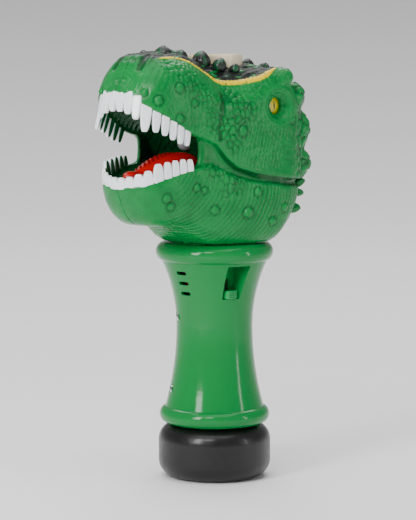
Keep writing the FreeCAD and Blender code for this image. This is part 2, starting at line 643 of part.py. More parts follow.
def bottle_socket():
    """The inside-threaded cap in the handle's foot that the bottle screws into."""
    skirt = ring(HANDLE_BOTTOM + CLEAR, SOCKET_R, SOCKET_BORE_R, SOCKET_TOP_Z - HANDLE_BOTTOM - CLEAR)
    lid = cylinder(0, 0, SOCKET_CEILING_Z, SOCKET_R - 0.5, SOCKET_TOP_Z - SOCKET_CEILING_Z)
    flange = ring(SOCKET_FLOOR_Z, SOCKET_FLANGE_R, SOCKET_R - 1, 2.0)
    turns = (SOCKET_CEILING_Z - HANDLE_BOTTOM - 5.0) / THREAD_PITCH
    ridge = helical_ridge(SOCKET_BORE_R, HANDLE_BOTTOM - CLEAR + 2.0 + THREAD_PITCH / 2, turns, True)
    socket = fused(skirt, lid, flange, ridge)
    for x, y in (DIP_XY, DRAIN_XY):
        socket = socket.cut(cylinder(x, y, SOCKET_CEILING_Z - 1, TUBE_R + 0.1, 6))
    return socket


# ---------------------------------------------------------------- batteries
def battery_tray():
    """The cradle of the three cells: two end plates and two side posts."""
    keep = box((-60, -16.2, 0), (60, 16.2, 300))
    top_keep = box((-60, -16.2, 0), (BOARD_X - CHIP_THICK - CLEAR, 16.2, 300))
    bottom = cylinder(0, 0, TRAY_Z, TRAY_R, TRAY_PLATE).common(keep)
    top = cylinder(0, 0, TRAY_TOP_Z, TRAY_R, TRAY_PLATE).common(top_keep)
    low_x, high_x = TRAY_POST_X - 2.0, TRAY_POST_X + 2.0
    posts = [box((low_x, y - 2.0, TRAY_Z), (high_x, y + 2.0, TRAY_TOP_Z + TRAY_PLATE))
             for y in (-TRAY_POST_Y, TRAY_POST_Y)]
    return fused(bottom, top, *posts).cut(tube_notches())


def battery_cells():
    """Three AA cells with their raised poles."""
    cells = []
    for index, place in enumerate(CELL_PLACES):
        body = cylinder(place.x, place.y, CELL_Z, CELL_R, CELL_LENGTH - 1.2)
        pole = cylinder(place.x, place.y, CELL_Z + CELL_LENGTH - 1.4, 2.7, 1.4)
        cell = body.fuse(pole)
        if index == 1:
            middle = Vector(place.x, place.y, CELL_Z + CELL_LENGTH / 2)
            cell.rotate(middle, Vector(1, 0, 0), 180)
        cells.append(cell)
    return Part.makeCompound(cells)


def battery_contacts():
    """Sprung and flat contact plates on the tray's end plates."""
    pieces = []
    for index, place in enumerate(CELL_PLACES):
        for level, plate_z in ((0, TRAY_Z + TRAY_PLATE), (1, TRAY_TOP_Z - 0.4)):
            size = 3.6
            pieces.append(box((place.x - size, place.y - size, plate_z),
                              (place.x + size, place.y + size, plate_z + 0.4)))
            sprung = (level == 0) != (index == 1)
            if sprung:
                low = TRAY_Z + TRAY_PLATE + 0.4 if level == 0 else CELL_Z + CELL_LENGTH
                gap = 1.2
                pieces.append(ring(low, 3.2, 2.4, gap, place.x, place.y))
    return Part.makeCompound(pieces)


# ---------------------------------------------------------------- gearbox, pump and motor
def round_plate(z, radius, thick):
    """A plate inside the neck with ways for the tubes, the wires and the axles."""
    plate = cylinder(0, 0, z, radius, thick)
    for x, y in (DELIVERY_XY, RETURN_LOW_XY):
        plate = plate.cut(cylinder(x, y, z - 1, TUBE_R + CLEAR, thick + 2))
    return plate


def gearbox_frame():
    """The motor plate with the three posts that hold the gears' cover."""
    plate = round_plate(PLATE_Z, PLATE_R, PLATE_THICK)
    posts = []
    for angle in POST_ANGLES:
        x, y = POST_RING_R * math.cos(math.radians(angle)), POST_RING_R * math.sin(math.radians(angle))
        posts.append(cylinder(x, y, COVER_Z + COVER_THICK, POST_R, PLATE_Z - COVER_Z - COVER_THICK + 1))
    frame = fused(plate, *posts)
    frame = frame.cut(cylinder(0, 0, PLATE_Z - 1, 3.4, PLATE_THICK + 2))
    frame = frame.cut(box((-6.5, -23.0, PLATE_Z - 1), (6.5, -19.4, PLATE_Z + PLATE_THICK + 1)))
    frame = frame.cut(cylinder(IDLER_PLACE.x, 0, PLATE_Z - 1, 0.8 + 0.02, PLATE_THICK))
    for angle in (130.0, 230.0, 50.0):
        x, y = 18.6 * math.cos(math.radians(angle)), 18.6 * math.sin(math.radians(angle))
        frame = frame.cut(cylinder(x, y, PLATE_Z - 1, 3.4, PLATE_THICK + 2))
    return frame


def pump_cover():
    """The plate between the gears and the pump."""
    cover = round_plate(COVER_Z, COVER_R, COVER_THICK)
    cover = cover.cut(cylinder(0, 0, COVER_Z - 1, 3.4, COVER_THICK + 2))
    return cover.cut(cylinder(IDLER_PLACE.x, 0, COVER_Z + 0.5, 0.8 + 0.02, COVER_THICK))


def pump_case():
    """The cup of the roller pump, whose wall backs the tube for half a turn."""
    wall_in = PUMP_TUBE_PATH_R + TUBE_R
    base = cylinder(0, 0, PUMP_Z, wall_in + 1.8, PUMP_BASE)
    wall = ring(PUMP_Z, wall_in + 1.8, wall_in, PUMP_HEIGHT)
    open_side = box((0.5, -30, PUMP_Z + PUMP_BASE), (30, 30, COVER_Z + 1))
    lugs = []
    for side in (-1, 1):
        y = side * (wall_in + 3.6)
        lugs.append(box((-3, y - 3.0, COVER_Z - 2.0), (3, y + 3.0, COVER_Z)))
    case = fused(base, wall.cut(open_side), *lugs)
    case = case.cut(cylinder(0, 0, PUMP_Z + PUMP_BASE, wall_in, PUMP_HEIGHT + 2))
    return case.cut(cylinder(0, 0, PUMP_Z + 0.5, SHAFT_R + 0.01, 4))


def pump_rotor():
    """The pump's gear wheel with the three bosses that walk along the tube."""
    low, high = PUMP_Z + PUMP_BASE + 0.5, COVER_Z - 0.5
    hub = cylinder(0, 0, low, 2.9, PUMP_WHEEL_Z - low + 0.5)
    reach = PUMP_TUBE_PATH_R - TUBE_R - 0.2
    lobes = []
    for index in range(3):
        angle = math.radians(60 + 120 * index)
        x, y = (reach - 2.4) * math.cos(angle), (reach - 2.4) * math.sin(angle)
        lobes.append(cylinder(x, y, low, 2.4, high - low))
    web = cylinder(0, 0, low, reach - 2.4, 1.2)
    rotor = fused(hub, web, *lobes)
    rotor = rotor.cut(cylinder(0, 0, low - 1, SHAFT_R + FIT, 40))
    wheel = gear(WHEEL_TEETH, GEAR_THICK, 180 + 180 / WHEEL_TEETH, SHAFT_R + FIT)
    wheel.translate(Vector(0, 0, PUMP_WHEEL_Z))
    return rotor.fuse(wheel)


def pump_axle():
    """The steel pin that the pump's rotor turns on."""
    low = PUMP_Z + 0.5
    return cylinder(0, 0, low, SHAFT_R, PUMP_WHEEL_Z + GEAR_THICK + 0.6 - low)


def idler_gear():
    """The double wheel between the motor's pinion and the pump's wheel."""
    wheel = gear(WHEEL_TEETH, GEAR_THICK, 180 / WHEEL_TEETH, 0.8 + FIT)
    wheel.translate(Vector(0, 0, IDLER_WHEEL_Z))
    low = PUMP_WHEEL_Z - 0.4
    small = gear(PINION_TEETH, IDLER_WHEEL_Z - low + 0.2, 0.0, 0.8 + FIT)
    small.translate(Vector(0, 0, low))
    both = wheel.fuse(small)
    both.translate(IDLER_PLACE)
    return both


def idler_axle():
    """The steel pin of the double wheel, held by the cover and the motor plate."""
    low = COVER_Z + 0.5
    return cylinder(IDLER_PLACE.x, 0, low, 0.8, PLATE_Z + 1.0 - low)


def motor_can():
    """The motor's steel can with two flats and its lower bearing boss."""
    can = cylinder(0, 0, MOTOR_Z, MOTOR_R, MOTOR_LENGTH - 3.0)
    flats = box((-MOTOR_FLAT, -30, MOTOR_Z - 5), (MOTOR_FLAT, 30, MOTOR_TOP_Z))
    boss = cylinder(0, 0, MOTOR_Z - 1.4, 3.0, 2.0)
    bore = cylinder(0, 0, MOTOR_Z - 3, SHAFT_R + FIT, MOTOR_LENGTH + 6)
    return fused(can.common(flats), boss).cut(bore)


def motor_end_cap():
    """The plastic end of the motor with its two terminals."""
    cap = cylinder(0, 0, MOTOR_TOP_Z - 3.0, MOTOR_R, 2.4)
    flats = box((-MOTOR_FLAT, -30, MOTOR_Z), (MOTOR_FLAT, 30, MOTOR_TOP_Z))
    boss = cylinder(0, 0, MOTOR_TOP_Z - 1.0, 2.4, 1.4)
    tabs = [box((x - TERMINAL_WIDTH / 2, -MOTOR_R - 1.6, MOTOR_TOP_Z - TERMINAL_DROP),
                (x + TERMINAL_WIDTH / 2, -MOTOR_R + 1.5, MOTOR_TOP_Z - TERMINAL_DROP + TERMINAL_THICK))
            for x in (-TERMINAL_X, TERMINAL_X)]
    cap = fused(cap.common(flats), boss, *tabs)
    return cap.cut(cylinder(0, 0, MOTOR_Z, SHAFT_R + FIT, MOTOR_LENGTH + 6))


def motor_shaft():
    """The steel shaft that comes out of both ends of the motor."""
    low = IDLER_WHEEL_Z - 0.4
    return cylinder(0, 0, low, SHAFT_R, FAN_Z + FAN_HEIGHT - low)


def motor_pinion():
    """The small gear pressed on the shaft's lower end."""
    wheel = gear(PINION_TEETH, GEAR_THICK + 0.8, 180.0, SHAFT_R)
    wheel.translate(Vector(0, 0, IDLER_WHEEL_Z - 0.4))
    return wheel


def fan_impeller():
    """The axial fan pressed on the shaft's upper end."""
    hub = cylinder(0, 0, FAN_Z, 4.6, FAN_HEIGHT)
    blades = []
    for index in range(6):
        blade = box((3.8, -0.5, -4.4), (FAN_R + 2, 0.5, 4.4))
        blade.rotate(Vector(0, 0, 0), Vector(1, 0, 0), 48)
        blade.rotate(Vector(0, 0, 0), Vector(0, 0, 1), 60 * index)
        blades.append(blade)
    swept = Part.makeCompound(blades)
    swept.translate(Vector(0, 0, FAN_Z + FAN_HEIGHT / 2))
    room = cylinder(0, 0, FAN_Z + 0.2, FAN_R, FAN_HEIGHT - 0.4)
    blades = [room.common(blade) for blade in swept.Solids]
    return fused(hub, *blades).cut(cylinder(0, 0, FAN_Z - 1, SHAFT_R, FAN_HEIGHT + 2))


# ---------------------------------------------------------------- air path and bubble head
def fan_duct():
    """The round shroud about the fan, on three legs that stand on the motor plate."""
    tube = ring(DUCT_Z, DUCT_R, DUCT_BORE_R, NOZZLE_Z - DUCT_Z)
    legs = []
    for angle in (45.0, 160.0, 268.0):
        leg = box((DUCT_BORE_R - 0.2, -2.6, MOTOR_Z), (DUCT_R, 2.6, DUCT_Z + 4))
        leg.rotate(Vector(0, 0, 0), Vector(0, 0, 1), angle)
        legs.append(leg)
    duct = fused(tube, *legs)
    return duct.cut(cylinder(0, 0, MOTOR_Z - 1, DUCT_BORE_R, NOZZLE_TOP_Z))


def bubble_nozzle():
    """The pale round outlet that stands out of the head."""
    wall = ring(NOZZLE_Z, DUCT_R, DUCT_BORE_R, NOZZLE_LENGTH)
    spigot = ring(NOZZLE_Z - 4.0, DUCT_BORE_R - 0.1, DUCT_BORE_R - 1.3, 4.2)
    web = ring(NOZZLE_Z, DUCT_R - 0.2, DUCT_BORE_R - 1.3, 1.2)
    seat = ring(DRIP_Z - 1.6, DUCT_R - 0.2, DUCT_BORE_R - 1.2, 1.6)
    nozzle = fused(wall, spigot, web, seat)
    rim = nozzle.cut(ring(NOZZLE_TOP_Z - 0.6, DUCT_R + 1, DUCT_R - 0.5, 1.0))
    for x, y, z in (RISER_XY + (RING_Z + 3.0,), RETURN_XY + (DRIP_Z + 2.6,)):
        rim = rim.cut(Part.makeCylinder(TUBE_R + 0.1, 40, Vector(x, y, z), Vector(-x, -y, 0)))
    return rim


def drip_tray():
    """The round gutter that catches the spent liquid about the air pipe."""
    floor = ring(DRIP_Z, RING_R, RING_BORE_R - 1.2, 1.2)
    inner = ring(DRIP_Z, RING_BORE_R, RING_BORE_R - 1.2, 7.0)
    outer = ring(DRIP_Z, RING_R, RING_R - 1.2, TRAY_RIM_Z - DRIP_Z)
    tray = fused(floor, inner, outer)
    x, y = RETURN_XY
    return tray.cut(Part.makeCylinder(TUBE_R + 0.1, 14, Vector(x, y, DRIP_Z + 2.6), Vector(-x, -y, 0)))


def bubble_ring():
    """The ribbed ring that the film of liquid forms across."""
    body = ring(RING_Z, RING_R, RING_BORE_R, 2.0)
    wall = ring(RING_Z, RING_R, RING_R - 1.4, 6.0)
    ribs = []
    count = 24
    for index in range(count):
        rib = box((RING_BORE_R + 0.4, -0.4, RING_Z + 1.8), (RING_R - 1.0, 0.4, RING_Z + 4.2))
        rib.rotate(Vector(0, 0, 0), Vector(0, 0, 1), 360.0 * (index + 0.5) / count)
        ribs.append(rib)
    ringed = fused(body, wall, *ribs)
    x, y = RISER_XY
    return ringed.cut(Part.makeCylinder(TUBE_R + 0.1, 12.5, Vector(x, y, RING_Z + 3.0), Vector(-x, -y, 0)))


# ---------------------------------------------------------------- liquid tubes and wires
def feed_tube():
    """The tube from the bottle's floor, up past the cells and round the pump to the ring."""
    turn_z = SOCKET_TOP_Z + TUBE_TURN
    lift = PUMP_MID_Z
    reach = FEED_XY[0]
    low = route([DIP_XY + (4.0,), DIP_XY + (turn_z,), FEED_LOW_XY + (turn_z + TUBE_SHIFT,),
                 FEED_LOW_XY + (TRAY_TOP_Z + 5.0,), FEED_XY + (TRAY_TOP_Z + 10.0,),
                 (reach, FEED_XY[1], lift), (0, FEED_XY[1], lift)], 2.6, TUBE_R, TUBE_BORE_R)
    return low


def pump_loop():
    """The soft tube that the pump's bosses press, half a turn round the case."""
    loop = Part.makeTorus(PUMP_TUBE_PATH_R, TUBE_R, Vector(0, 0, PUMP_MID_Z))
    core = Part.makeTorus(PUMP_TUBE_PATH_R, TUBE_BORE_R, Vector(0, 0, PUMP_MID_Z))
    return loop.cut(core).common(box((-30, -30, PUMP_Z), (0, 30, COVER_Z)))


def delivery_tube():
    """The tube from the pump up to the bubble ring."""
    lift = PUMP_MID_Z
    x, y = RISER_XY
    inner = 1 - (math.hypot(x, y) - RING_R + 0.9) / math.hypot(x, y)
    return route([(0, DELIVERY_XY[1], lift), (DELIVERY_XY[0], DELIVERY_XY[1], lift),
                  DELIVERY_XY + (MOTOR_Z + 3.0,), (x, y, MOTOR_Z + 12.0), (x, y, RING_Z + 3.0),
                  (x * inner, y * inner, RING_Z + 3.0)], 2.6, TUBE_R, TUBE_BORE_R)


def return_tube():
    """The tube that brings spent liquid from the gutter back to the bottle."""
    turn_z = SOCKET_TOP_Z + TUBE_TURN
    x, y = RETURN_XY
    level = DRIP_Z + 2.6
    inner = 1 - (math.hypot(x, y) - RING_R + 0.9) / math.hypot(x, y)
    return route([(x * inner, y * inner, level), (x, y, level), (x, y, MOTOR_Z + 12.0),
                  RETURN_LOW_XY + (MOTOR_Z + 3.0,), RETURN_LOW_XY + (turn_z + TUBE_SHIFT,),
                  DRAIN_XY + (turn_z, ), DRAIN_XY + (SOCKET_CEILING_Z - 6.0,)], 2.2, TUBE_R, TUBE_BORE_R)


def led_wires():
    """The two leads from the board up to the light in the mouth."""
    board_z = KNOB_Z + 8.0
    top_z = HANDLE_TOP + MOUTH_LED_H
    leads = []
    for x, drop in ((-1.3, 0.0), (1.3, WIRE_ROW)):
        leads.append(route([(BOARD_X, SWITCH_Y + 2.4, board_z + drop), (x, SWITCH_Y + 2.4, board_z + drop),
                            (x, -21.0, board_z + drop), (x, -21.0, DUCT_Z - 6.0),
                            (x, -19.6, DUCT_Z + 2.0), (x, -19.6, top_z)], 1.3, WIRE_R))
    return Part.makeCompound(leads)


def motor_wires():
    """The two leads from the board to the motor's terminals."""
    leads = []
    tab_z = MOTOR_TOP_Z - TERMINAL_DROP - WIRE_R
    for x, row in ((-TERMINAL_X, 0.0), (TERMINAL_X, WIRE_ROW)):
        board_z = KNOB_Z + 4.0 + row
        leads.append(route([(BOARD_X, SWITCH_Y + 0.6, board_z), (x, SWITCH_Y + 0.6, board_z),
                            (x, -20.7, board_z), (x, -20.7, tab_z), (x, -MOTOR_R - 0.2, tab_z)],
                           1.3, WIRE_R))
    return Part.makeCompound(leads)


def battery_wires():
    """The two leads from the cells' contacts to the board."""
    leads = []
    for y, row in ((SWITCH_Y + 6.8, 0.0), (SWITCH_Y + 4.4, 2.6)):
        top = TRAY_TOP_Z + TRAY_PLATE + 3.2 + row
        leads.append(route([(2.0, y, TRAY_TOP_Z + TRAY_PLATE), (2.0, y, top),
                            (BOARD_X, y, top)], 1.3, WIRE_R))
    return Part.makeCompound(leads)


# ---------------------------------------------------------------- head
def inset_point(points, index, inset):
    """A point of a closed outline moved inwards."""
    before, after = points[index - 1], points[(index + 1) % len(points)]
    along = (after - before).normalize()
    return points[index] + Vector(-along.y, along.x, 0) * inset


def head_outline(level, inset=0.0, lift=0.0):
    """A closed smooth wire of the head's plan at one height."""
    height, pairs = level
    left = [Vector(w, -u, 0) for u, w in pairs]
    right = [Vector(-p.x, p.y, 0) for p in reversed(left[1:-1])]
    points = left + right
    if inset:
        points = [inset_point(points, k, inset) for k in range(len(points))]
    curve = Part.BSplineCurve()
    curve.interpolate(Points=points, PeriodicFlag=True)
    wire = Part.Wire(curve.toShape())
    wire.translate(Vector(0, 0, HEAD_Z + height + lift))
    return wire


def head_block():
    """The whole head as a solid, from the neck to the crown."""
    wires = [head_outline(level) for level in HEAD_OUTLINES]
    return Part.makeLoft(wires, True, False)


def head_room():
    """The hollow of the head, a wall inside its surface."""
    top = HEAD_OUTLINES[-1][0]
    wires = []
    for level in HEAD_OUTLINES:
        share = level[0] / top
        lift = WALL * 1.3 * (1 - 2 * share)
        wires.append(head_outline(level, WALL * 1.25, lift))
    neck_way = cylinder(0, 0, HEAD_Z - 1, NECK_BORE_R - 0.1, 8)
    return fused(Part.makeLoft(wires, True, False), neck_way)


def mouth_block(grow, side_reach):
    """The open mouth as a solid; grow adds the wall round it."""
    roof = [(u, HANDLE_TOP + z + grow) for u, z in MOUTH_ROOF]
    floor = [(u, HANDLE_TOP + z - grow) for u, z in MOUTH_FLOOR]
    gap = side_prism(roof + floor, side_reach)
    back_u = MOUTH_BACK_U - grow
    corner_roof, corner_floor = roof[-1], floor[0]
    throat = side_prism([(corner_roof[0] + 12, corner_roof[1] + 5.5), (back_u, corner_roof[1] - 4),
                         (back_u, corner_floor[1] + 0.5), (corner_floor[0] + 12, corner_floor[1] - 1.2)],
                        MOUTH_BACK_HALF_WIDTH + grow)
    return gap.fuse(throat)


def lip_place(distance, top, drop):
    """The place and heading along a lip at a distance from the muzzle's middle."""
    outline = ((87.0, 0.0), (85.6, 10.0), (81.0, 19.6), (74.0, 24.2), (62.0, 27.4), (40.0, 29.6))
    profile = MOUTH_ROOF if top else tuple(reversed(MOUTH_FLOOR))
    left = distance
    for (u0, w0), (u1, w1) in zip(outline, outline[1:]):
        run = math.hypot(u1 - u0, w1 - w0)
        if left <= run:
            break
        left -= run
    share = min(left / run, 1.0)
    u, w = u0 + (u1 - u0) * share, w0 + (w1 - w0) * share
    height = profile[-1][1]
    for (u0, z0), (u1, z1) in zip(profile, profile[1:]):
        if u1 <= u <= u0:
            height = z0 + (z1 - z0) * (u0 - u) / (u0 - u1)
    return Vector(w, -(u - drop), HANDLE_TOP + height)


def teeth_row(table, top):
    """The left teeth of one jaw, as tapered pegs sunk in the lip."""
    pegs = []
    for distance, width, length in table:
        place = lip_place(distance, top, 2.6)
        way = Vector(0, 0, -1 if top else 1)
        root = place - way * TOOTH_ROOT
        peg = Part.makeCone(width / 2, width * 0.17, length + TOOTH_ROOT, root, way)
        pegs.append(peg)
    return pegs


def crest_knobs():
    """The raised knobs of the crown, the brow and the nape on the left."""
    return [Part.makeSphere(r, Vector(w, -u, HANDLE_TOP + h)) for u, w, h, r in CREST_KNOBS]


def eye_socket():
    """The tub about the left eye, as the solid to add and the hole to cut."""
    y, z = -EYE_U, HANDLE_TOP + EYE_H
    axis = Vector(1, 0, 0)
    start = EYE_FACE_X - 3.4
    tub = cylinder(start, y, z, EYE_R + 3.0, 30, axis)
    return tub, cylinder(start - 4, y, z, EYE_R + CLEAR, 40, axis)


def eye(side):
    """A domed eye with the flange that holds it behind its socket."""
    y, z = -EYE_U, HANDLE_TOP + EYE_H
    axis = Vector(side, 0, 0)
    back = EYE_FACE_X - 5.2
    flange = cylinder(side * back, y, z, EYE_R + 2.4, 1.6, axis)
    barrel = cylinder(side * back, y, z, EYE_R, EYE_FACE_X - back - 1.5, axis)
    dome_r = 14.0
    dome = Part.makeSphere(dome_r, Vector(side * (EYE_FACE_X - dome_r), y, z))
    front = cylinder(side * (EYE_FACE_X - 2.5), y, z, EYE_R, 3.0, axis)
    return fused(flange, barrel, dome.common(front))


def mouth_led():
    """The clear domed light at the back of the mouth."""
    z = HANDLE_TOP + MOUTH_LED_H
    back = -(MOUTH_BACK_U - WALL) + 1.0
    body = cylinder(0, back, z, LED_R, 7.0, Vector(0, -1, 0))
    rim = cylinder(0, back, z, LED_R + 0.8, 1.0, Vector(0, -1, 0))
    return fused(body, rim, Part.makeSphere(LED_R, Vector(0, back - 7.0, z)))


def head_seats():
    """How deep each head screw's head sits inside the right shell."""
    return [-7.0] * len(HEAD_SCREWS)


def head_left_half():
    """The left half of the head with its teeth and its half of the neck, before the screw holes."""
    block = half(head_block().cut(mouth_block(0.0, 80)), 1)
    room = head_room().cut(mouth_block(WALL, 80))
    shell = block.cut(room)
    neck = ring(NECK_FLANGE_Z, NECK_R, NECK_BORE_R, HEAD_Z + 2.0 - NECK_FLANGE_Z)
    flange = ring(NECK_FLANGE_Z, NECK_FLANGE_R, NECK_BORE_R, NECK_FLANGE_THICK)
    ledge = ring(PLATE_Z - 1.5, NECK_BORE_R + 0.6, LEDGE_R, 1.5)
    parts = [half(p, 1) for p in (neck, flange, ledge)]
    places = [(-u, HANDLE_TOP + h) for u, h in HEAD_SCREWS]
    parts += [half(bar.common(block), 1) for bar in boss_bars(places, HEAD_BOSS_R)]
    tub, eye_hole = eye_socket()
    parts.append(tub.common(block))
    parts += teeth_row(UPPER_TEETH, True) + teeth_row(LOWER_TEETH, False)
    knobs = [knob.cut(room) for knob in crest_knobs()]
    shell = fused(shell, *(parts + knobs))
    outlet = cylinder(0, 0, DUCT_Z, DUCT_R + CLEAR, 200)
    led = cylinder(0, 0, HANDLE_TOP + MOUTH_LED_H, LED_R + 0.1, 60, Vector(0, -1, 0))
    return shell.cut(eye_hole).cut(outlet).cut(led)


def head_shell(side):
    """One moulded half of the head: 1 is the left half, -1 the right half."""
    shell = head_left_half()
    if side < 0:
        shell = shell.mirror(Vector(0, 0, 0), Vector(1, 0, 0))
    places = [(-u, HANDLE_TOP + h) for u, h in HEAD_SCREWS]
    for hole in screw_holes(places, head_seats()):
        shell = shell.cut(hole)
    return shell


def tongue():
    """The red tongue on the floor of the mouth."""
    outline = [(27, 15.5), (40, 18), (60, 14.5), (72, 10.0), (78, 7.6), (80.3, 4.0)]
    points = [Vector(w, -u, 0) for u, w in outline] + [Vector(-w, -u, 0) for u, w in reversed(outline)]
    plan = Part.Face(Part.makePolygon(points + points[:1])).extrude(Vector(0, 0, 400))
    floor = [(u, HANDLE_TOP + z) for u, z in MOUTH_FLOOR]
    top = [(u, HANDLE_TOP + z) for u, z in ((88, 48.6), (74, 51.5), (50, 55.5), (26, 58.0))]
    side = side_prism([(26, HANDLE_TOP + 50.0)] + floor + top, 40)
    return plan.common(side)


# ---------------------------------------------------------------- fasteners
def screw(seat, y, z):
    """A self-tapping screw along +X with its head at the right and its tip in the left half."""
    top = seat - SCREW_HEAD_HEIGHT
    head = cylinder(top, y, z, SCREW_HEAD_R, SCREW_HEAD_HEIGHT, Vector(1, 0, 0))
    shank = cylinder(seat, y, z, SCREW_R, SCREW_TIP_X - seat, Vector(1, 0, 0))
    half_slot = SCREW_SLOT_WIDTH / 2
    cross = box((top - 0.1, y - SCREW_SLOT_REACH, z - half_slot),
                (top + SCREW_SLOT_DEPTH, y + SCREW_SLOT_REACH, z + half_slot))
    return head.fuse(shank).cut(cross)


def handle_screws():
    """The screws that close the handle."""
    return Part.makeCompound([screw(seat, y, z)
                              for (y, z), seat in zip(HANDLE_SCREWS, handle_seats())])


def head_screws():
    """The screws that close the head."""
    return Part.makeCompound([screw(seat, -u, HANDLE_TOP + h)
                              for (u, h), seat in zip(HEAD_SCREWS, head_seats())])


NODES = {
    "handle_left_shell": lambda: handle_shell(1),
    "handle_right_shell": lambda: handle_shell(-1),
    "head_left_shell": lambda: head_shell(1),
    "head_right_shell": lambda: head_shell(-1),
    "left_eye": lambda: eye(1),
    "right_eye": lambda: eye(-1),
    "tongue": tongue,
    "mouth_led": mouth_led,
    "bubble_nozzle": bubble_nozzle,
    "bubble_ring": bubble_ring,
    "drip_tray": drip_tray,
    "fan_duct": fan_duct,
    "fan_impeller": fan_impeller,
    "motor_can": motor_can,
    "motor_end_cap": motor_end_cap,
    "motor_shaft": motor_shaft,
    "motor_pinion": motor_pinion,
    "gearbox_frame": gearbox_frame,
    "idler_gear": idler_gear,
    "idler_axle": idler_axle,
    "pump_cover": pump_cover,
    "pump_case": pump_case,
    "pump_rotor": pump_rotor,
    "pump_axle": pump_axle,
    "pump_loop": pump_loop,
    "feed_tube": feed_tube,
    "delivery_tube": delivery_tube,
    "return_tube": return_tube,
    "battery_tray": battery_tray,
    "battery_cells": battery_cells,
    "battery_contacts": battery_contacts,
    "battery_door": battery_door,
    "door_screw": door_screw,
    "door_screw_washer": door_screw_washer,
    "switch_knob": switch_knob,
    "slide_switch": slide_switch,
    "circuit_board": circuit_board,
    "led_wires": led_wires,
    "motor_wires": motor_wires,
    "battery_wires": battery_wires,
    "bottle": bottle,
    "bottle_seal": bottle_seal,
    "bottle_socket": bottle_socket,
    "handle_screws": handle_screws,
    "head_screws": head_screws,
}


def main():
    """Build every node and write it."""
    os.makedirs("parts", exist_ok=True)
    for name, make in NODES.items():
        shape = make()
        shape.exportStep("parts/" + name + ".step")
        print(name, "valid" if shape.isValid() else "NOT VALID", len(shape.Solids), round(shape.Volume))


main()
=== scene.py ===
"""Looks of a light-up bubble wand with a dinosaur head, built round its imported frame.

Lengths inside the sculpting code are millimetres; meshes are handed over in metres. The
creature looks along -Y, so "forward" is -Y, and its left half is the half with X above zero.
"""
import json
import logging
import math
from dataclasses import dataclass, field
from enum import Enum

import bpy
import numpy as np
import openvdb
from mathutils import Matrix, Vector

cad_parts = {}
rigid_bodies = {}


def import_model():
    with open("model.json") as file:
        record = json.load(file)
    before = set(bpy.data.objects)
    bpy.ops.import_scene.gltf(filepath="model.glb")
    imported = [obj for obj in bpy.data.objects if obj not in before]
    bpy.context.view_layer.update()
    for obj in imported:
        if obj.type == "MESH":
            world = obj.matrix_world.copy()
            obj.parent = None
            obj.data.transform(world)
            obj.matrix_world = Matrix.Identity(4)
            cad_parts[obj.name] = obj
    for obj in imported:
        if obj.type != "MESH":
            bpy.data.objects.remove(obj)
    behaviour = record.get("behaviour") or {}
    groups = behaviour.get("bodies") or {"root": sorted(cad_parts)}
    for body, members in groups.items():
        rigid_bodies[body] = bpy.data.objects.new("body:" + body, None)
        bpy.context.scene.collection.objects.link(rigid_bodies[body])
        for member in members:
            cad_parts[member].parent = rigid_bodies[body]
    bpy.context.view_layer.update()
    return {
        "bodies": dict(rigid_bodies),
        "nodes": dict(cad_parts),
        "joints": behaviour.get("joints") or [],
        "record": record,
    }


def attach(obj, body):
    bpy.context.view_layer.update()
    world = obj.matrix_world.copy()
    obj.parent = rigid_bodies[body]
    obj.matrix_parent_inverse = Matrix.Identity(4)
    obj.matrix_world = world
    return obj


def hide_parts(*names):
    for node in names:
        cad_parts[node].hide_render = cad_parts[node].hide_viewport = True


log = logging.getLogger("bubble_wand")
MM = 0.001
HOUSING = "housing"
SEAM = 0.03


class Side(Enum):
    """Which half of the head a piece belongs to."""

    LEFT = 1
    RIGHT = -1


# ------------------------------------------------------------------ small numeric helpers
def curve(points: tuple, at: np.ndarray, soften: float = 2.0) -> np.ndarray:
    """A smooth value along a line of given points.

    Args:
        points: (position, value) pairs in any order.
        at: positions to read.
        soften: width, in millimetres, of the rounding at each point.

    Returns:
        The values at the positions.
    """
    spots = sorted(points)
    xs, ys = np.array([p[0] for p in spots], float), np.array([p[1] for p in spots], float)
    fine = np.arange(xs[0] - 12, xs[-1] + 12, 0.5)
    line = np.interp(fine, xs, ys)
    reach = np.arange(-4 * soften, 4 * soften + 0.5, 0.5)
    weights = np.exp(-0.5 * (reach / soften) ** 2)
    padded = np.pad(line, len(reach) // 2, mode="edge")
    smooth = np.convolve(padded, weights / weights.sum(), mode="valid")
    return np.interp(at, fine, smooth[: len(fine)]).astype(np.float32)


def join_max(a: np.ndarray, b: np.ndarray, width: float) -> np.ndarray:
    """The larger of two fields with a rounded corner of the given width."""
    h = np.clip(1 - np.abs(a - b) / width, 0, 1)
    return np.maximum(a, b) + h * h * (width / 4)


def join_min(a: np.ndarray, b: np.ndarray, width: float) -> np.ndarray:
    """The smaller of two fields with a rounded fillet of the given width."""
    return -join_max(-a, -b, width)


def blurred(block: np.ndarray, passes: int) -> np.ndarray:
    """A field smoothed along its three axes by a small binomial kernel."""
    for _ in range(passes):
        for axis in range(3):
            pads = [(0, 0)] * 3
            pads[axis] = (1, 1)
            wide = np.pad(block, pads, mode="edge")
            count = block.shape[axis]
            ahead = np.take(wide, range(2, count + 2), axis)
            behind = np.take(wide, range(count), axis)
            block = 0.5 * block + 0.25 * (ahead + behind)
    return block


def ellipsoid(x: np.ndarray, y: np.ndarray, z: np.ndarray, centre: tuple, radii: tuple) -> np.ndarray:
    """Approximate distance to an ellipsoid's surface, negative inside."""
    a = (x - centre[0]) / radii[0]
    b = (y - centre[1]) / radii[1]
    c = (z - centre[2]) / radii[2]
    return (np.sqrt(a * a + b * b + c * c) - 1) * min(radii)


